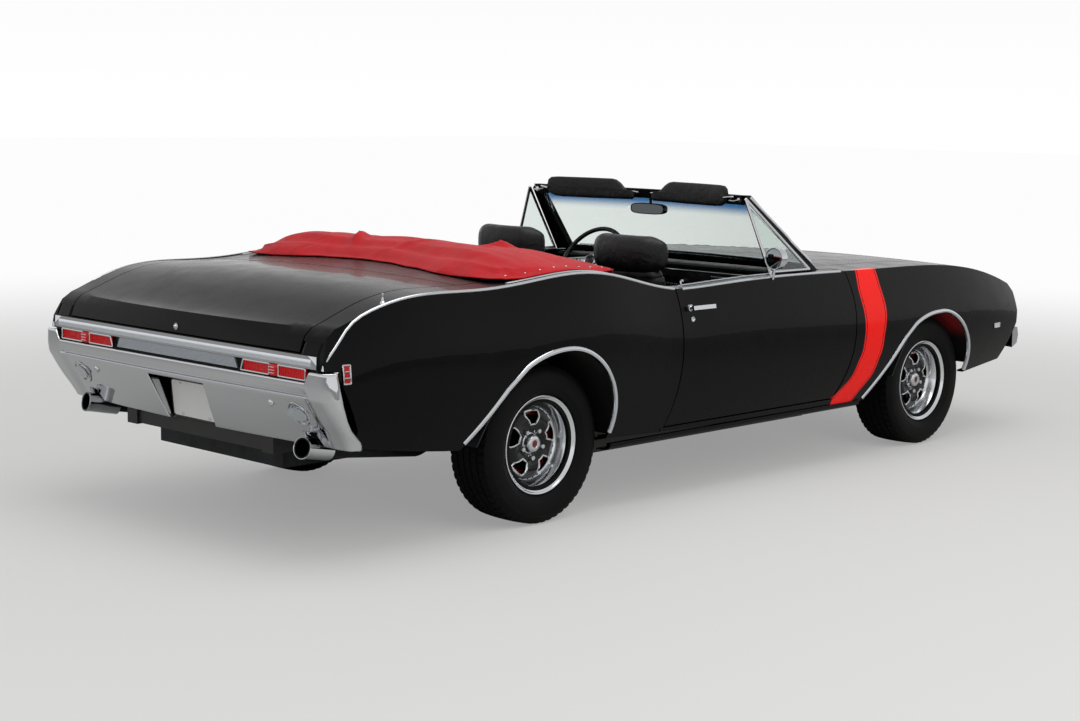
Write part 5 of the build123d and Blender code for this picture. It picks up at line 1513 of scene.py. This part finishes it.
# ---- bumpers and bright castings ----
# Pressed steel, copper and nickel plated, then chromed and polished: it mirrors the sky and
# the floor, with the long soft waves that the press leaves.
dress(chrome, "bumper_front", "vent_frame_left", "vent_frame_right", "headlamp_bezels", "tail_trim",
      "door_handle_left", "door_handle_right")

# ---- rear-view mirror ----
# A black moulded shell with soft corners round the glass, on a short stem from the header.
shell = Workpiece("rear_view_mirror", satin_black, mirror_glass)


def mirror_ring(y, grow):
    """A rounded oblong across the shell at one depth."""
    ring = []
    for k in range(40):
        c, s = cos(2 * pi * k / 40), sin(2 * pi * k / 40)
        ring.append((0.108 * grow * copysign(abs(c) ** 0.5, c), y,
                     1.216 + (0.0275 - 0.108 * (1 - grow)) * copysign(abs(s) ** 0.6, s)))
    return ring


rings = [mirror_ring(y, grow) for y, grow in ((-0.3250, 0.90), (-0.3235, 0.95), (-0.3180, 0.985),
                                              (-0.3080, 1.0), (-0.2860, 1.0), (-0.2835, 0.992),
                                              (-0.2835, 0.965), (-0.2860, 0.955))]
shell.skin(rings, 0, around=True)
shell.lay(rings[0], [tuple(range(40))], 0)
shell.lay(rings[-1], [tuple(range(40))[::-1]], 1)
shell.rod([(0, -0.312, 1.235), (0, -0.312, 1.258), (0, -0.306, 1.2745)], 0.007, 0, 12)
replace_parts(shell.make("body", sharp=40), "inner_mirror")

# ---- glass ----
# Laminated windscreen and tempered vents, faintly green, with a blue shade band at the top.
screen_glass, tree, shader = new_material("laminated_glass_with_shade_band", "#eef6f2", 0.0)
shader.inputs["Transmission Weight"].default_value = 1.0
where = add(tree, "ShaderNodeTexCoord")
point = add(tree, "ShaderNodeSeparateXYZ", {0: where.outputs["Object"]})
shade = carried(tree, point.outputs["Z"], 1.195, 1.262, interpolation_type="SMOOTHSTEP")
tinted(tree, shader, shade, "#eef6f2", "#3f74a6")
dress(screen_glass, "windscreen")
vent_glass, tree, shader = new_material("tempered_glass", "#eaf3ef", 0.0)
shader.inputs["Transmission Weight"].default_value = 1.0
bumps(tree, shader, 4, 0.00002)
dress(vent_glass, "vent_glass_left", "vent_glass_right")


# ---- front end ----
# Black grille with fine upright bars behind bright level ones, four sealed lamps with pressed
# lenses and chromed rims, an amber parking lamp between each pair, and a chromed bumper.
lamp_bowl = surfaced("aluminised_lamp_bowl", "#d4d6d8", 0.12, 1.0, 100, 0.0002)
LAMP_HEIGHT = 0.670
front = Workpiece("lamp_rims", chrome, lamp_bowl)
for sign in (1, -1):
    for x in (0.440, 0.715):
        y = -2.508 + (2.508 - 2.380) * (x / 0.980) ** 2 + 0.012
        front.turn([(-0.004, 0.0785), (0.004, 0.0800), (0.009, 0.0775), (0.010, 0.0730), (0.006, 0.0695),
                    (0.0, 0.0690)], (sign * x, y, LAMP_HEIGHT), (0, -1, 0), 0, 64)
        front.turn([(0.0006, 0.0690), (0.0045, 0.050), (0.0065, 0.025), (0.0070, 0.0)],
                   (sign * x, y, LAMP_HEIGHT), (0, -1, 0), 1, 64)
front.make("body")


def repeated(name, count, start, step, size, material):
    """Equal bars in a row, laid out by a node tree and kept as a plain mesh."""
    tree = bpy.data.node_groups.new(name, "GeometryNodeTree")
    for label, kind, value in (("Count", "Int", count), ("Start", "Vector", start), ("Step", "Vector", step),
                               ("Size", "Vector", size), ("Material", "Material", material)):
        tree.interface.new_socket(label, in_out="INPUT", socket_type="NodeSocket" + kind).default_value = value
    tree.interface.new_socket("Geometry", in_out="OUTPUT", socket_type="NodeSocketGeometry")
    given, result = tree.nodes.new("NodeGroupInput"), tree.nodes.new("NodeGroupOutput")
    line, bar = tree.nodes.new("GeometryNodeMeshLine"), tree.nodes.new("GeometryNodeMeshCube")
    spread, whole = tree.nodes.new("GeometryNodeInstanceOnPoints"), tree.nodes.new("GeometryNodeRealizeInstances")
    painted = tree.nodes.new("GeometryNodeSetMaterial")
    for source, target in ((given.outputs["Count"], line.inputs["Count"]),
                           (given.outputs["Start"], line.inputs["Start Location"]),
                           (given.outputs["Step"], line.inputs["Offset"]),
                           (given.outputs["Size"], bar.inputs["Size"]),
                           (line.outputs["Mesh"], spread.inputs["Points"]),
                           (bar.outputs["Mesh"], spread.inputs["Instance"]),
                           (spread.outputs["Instances"], whole.inputs["Geometry"]),
                           (whole.outputs["Geometry"], painted.inputs["Geometry"]),
                           (given.outputs["Material"], painted.inputs["Material"]),
                           (painted.outputs["Geometry"], result.inputs["Geometry"])):
        tree.links.new(source, target)
    piece = placed(name, bpy.data.meshes.new(name))
    piece.modifiers.new(name, "NODES").node_group = tree
    mesh = bpy.data.meshes.new_from_object(piece.evaluated_get(bpy.context.evaluated_depsgraph_get()))
    piece.modifiers.clear()
    piece.data = mesh
    piece.data.name = name
    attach(piece, "body")
    return piece


repeated("grille_uprights", 60, (-0.3068, -2.4625, LAMP_HEIGHT), (0.0104, 0, 0), (0.003, 0.006, 0.152),
         satin_black)
mesh_black = Workpiece("grille_bars", satin_black, chrome)
mesh_black.block((-0.318, -2.458, 0.590), (0.318, -2.455, 0.750), 0)
for k in range(6):
    z = 0.588 + k * 0.0312
    mesh_black.block((-0.321, -2.4835, z + 0.001), (0.321, -2.4822, z + 0.007), 1)
mesh_black.make("body")
amber_lens, tree, shader = new_material("amber_acrylic_lens", "#d5660a", 0.12)
shader.inputs["Coat Weight"].default_value = 1.0
bumps(tree, shader, 160, 0.0008, 1.0)
parking = Workpiece("parking_lamps", amber_lens, chrome)
OCTAGON = ((-1, -0.8), (-0.8, -1), (0.8, -1), (1, -0.8), (1, 0.8), (0.8, 1), (-0.8, 1), (-1, 0.8))
for sign in (1, -1):
    x = sign * 0.5775
    rows = []
    for out, half in ((0.0, 0.036), (0.006, 0.035), (0.009, 0.030), (0.0105, 0.015), (0.011, 0.002)):
        rows.append([(x + half * a, -2.4525 - out, LAMP_HEIGHT + half * b) for a, b in OCTAGON])
    parking.skin(rows, 0, around=True)
    parking.lay(rows[-1], [tuple(range(8))], 0)
    loop = [(x + 0.037 * a, -2.4535, LAMP_HEIGHT + 0.037 * b) for a, b in OCTAGON]
    parking.rod(loop, 0.0028, 1, 8, closed=True, upright=(0, 1, 0))
parking.make("body")

# ---- rocker panels ----
# Rolled steel sills under the doors, painted with the body and turned under toward the frame.
rocker = Workpiece("rocker_panels", black_enamel)
for sign in (1, -1):
    rows = []
    for k in range(25):
        y = -0.872 + (0.962 + 0.872) * k / 24
        rows.append([(sign * x, y, z) for x, z in ((0.880, 0.3010), (0.9015, 0.3005), (0.9035, 0.292),
                                                   (0.898, 0.281), (0.884, 0.273), (0.860, 0.269),
                                                   (0.820, 0.268), (0.820, 0.272), (0.860, 0.274),
                                                   (0.880, 0.280))])
    rocker.skin(rows, around=True, caps=True)
rocker.make("body", sharp=50)

# ---- underside ----
# Boxed frame, arms and rear floor in chassis enamel dulled by road film, raw cast knuckles, plated
# tank and pipes drawn dark with painted shade, a painted engine, and red liners in the front fenders,
# near black at their rear and bottom with painted shade.
def road_film(tree, shader, clean, dusty):
    """Colour that varies with dust, and a surface pitted at a few millimetres."""
    where = bumps(tree, shader, 260, 0.0004)
    dust = clouds(tree, where, 5.0, 7.0, Roughness=0.7)
    tinted(tree, shader, carried(tree, dust, 0.42, 0.7), clean, dusty)


chassis_black, tree, shader = new_material("chassis_enamel", "#0c0c0d", 0.55)
road_film(tree, shader, "#080809", "#171614")
dress(chassis_black, "frame_rails", "front_arms", "rear_axle", "rear_floor", "grille")
dress(black_enamel, "floor_pan")
# painted shade: the plated tank and pipes are drawn dark grey, as they lie in the shade under the car, and dust
# varies the grey
tank_steel_in_painted_shade, tree, shader = new_material("terne_plated_steel_in_painted_shade", "#8d8f90", 0.42, 1.0)
road_film(tree, shader, "#2b2d2f", "#1c1a18")
dress(tank_steel_in_painted_shade, "fuel_tank", "exhaust")
cast_iron, tree, shader = new_material("cast_iron", "#4b4a48", 0.6, 0.8)
road_film(tree, shader, "#474644", "#2d2a26")
dress(cast_iron, "knuckle_left", "knuckle_right")
engine_paint, tree, shader = new_material("engine_enamel", "#8a6a2a", 0.45)
road_film(tree, shader, "#7d6327", "#3c3322")
dress(engine_paint, "engine")
liner_red, tree, shader = new_material("red_painted_liner", "#a31016", 0.5)
where = bumps(tree, shader, 200, 0.0004)
place = add(tree, "ShaderNodeSeparateXYZ", {0: where.outputs["Object"]})
# the rear half and the lower part of each liner are drawn near black: painted shade deep in the wheel arch
painted_shade_rear = carried(tree, place.outputs["Y"], -1.62, -1.56, interpolation_type="SMOOTHSTEP")
painted_shade_low = carried(tree, place.outputs["Z"], 0.62, 0.52, interpolation_type="SMOOTHSTEP")
tinted(tree, shader, maths(tree, "MAXIMUM", painted_shade_rear, painted_shade_low), "#8f0f14", "#0a0a0a")
dress(liner_red, "inner_fenders")
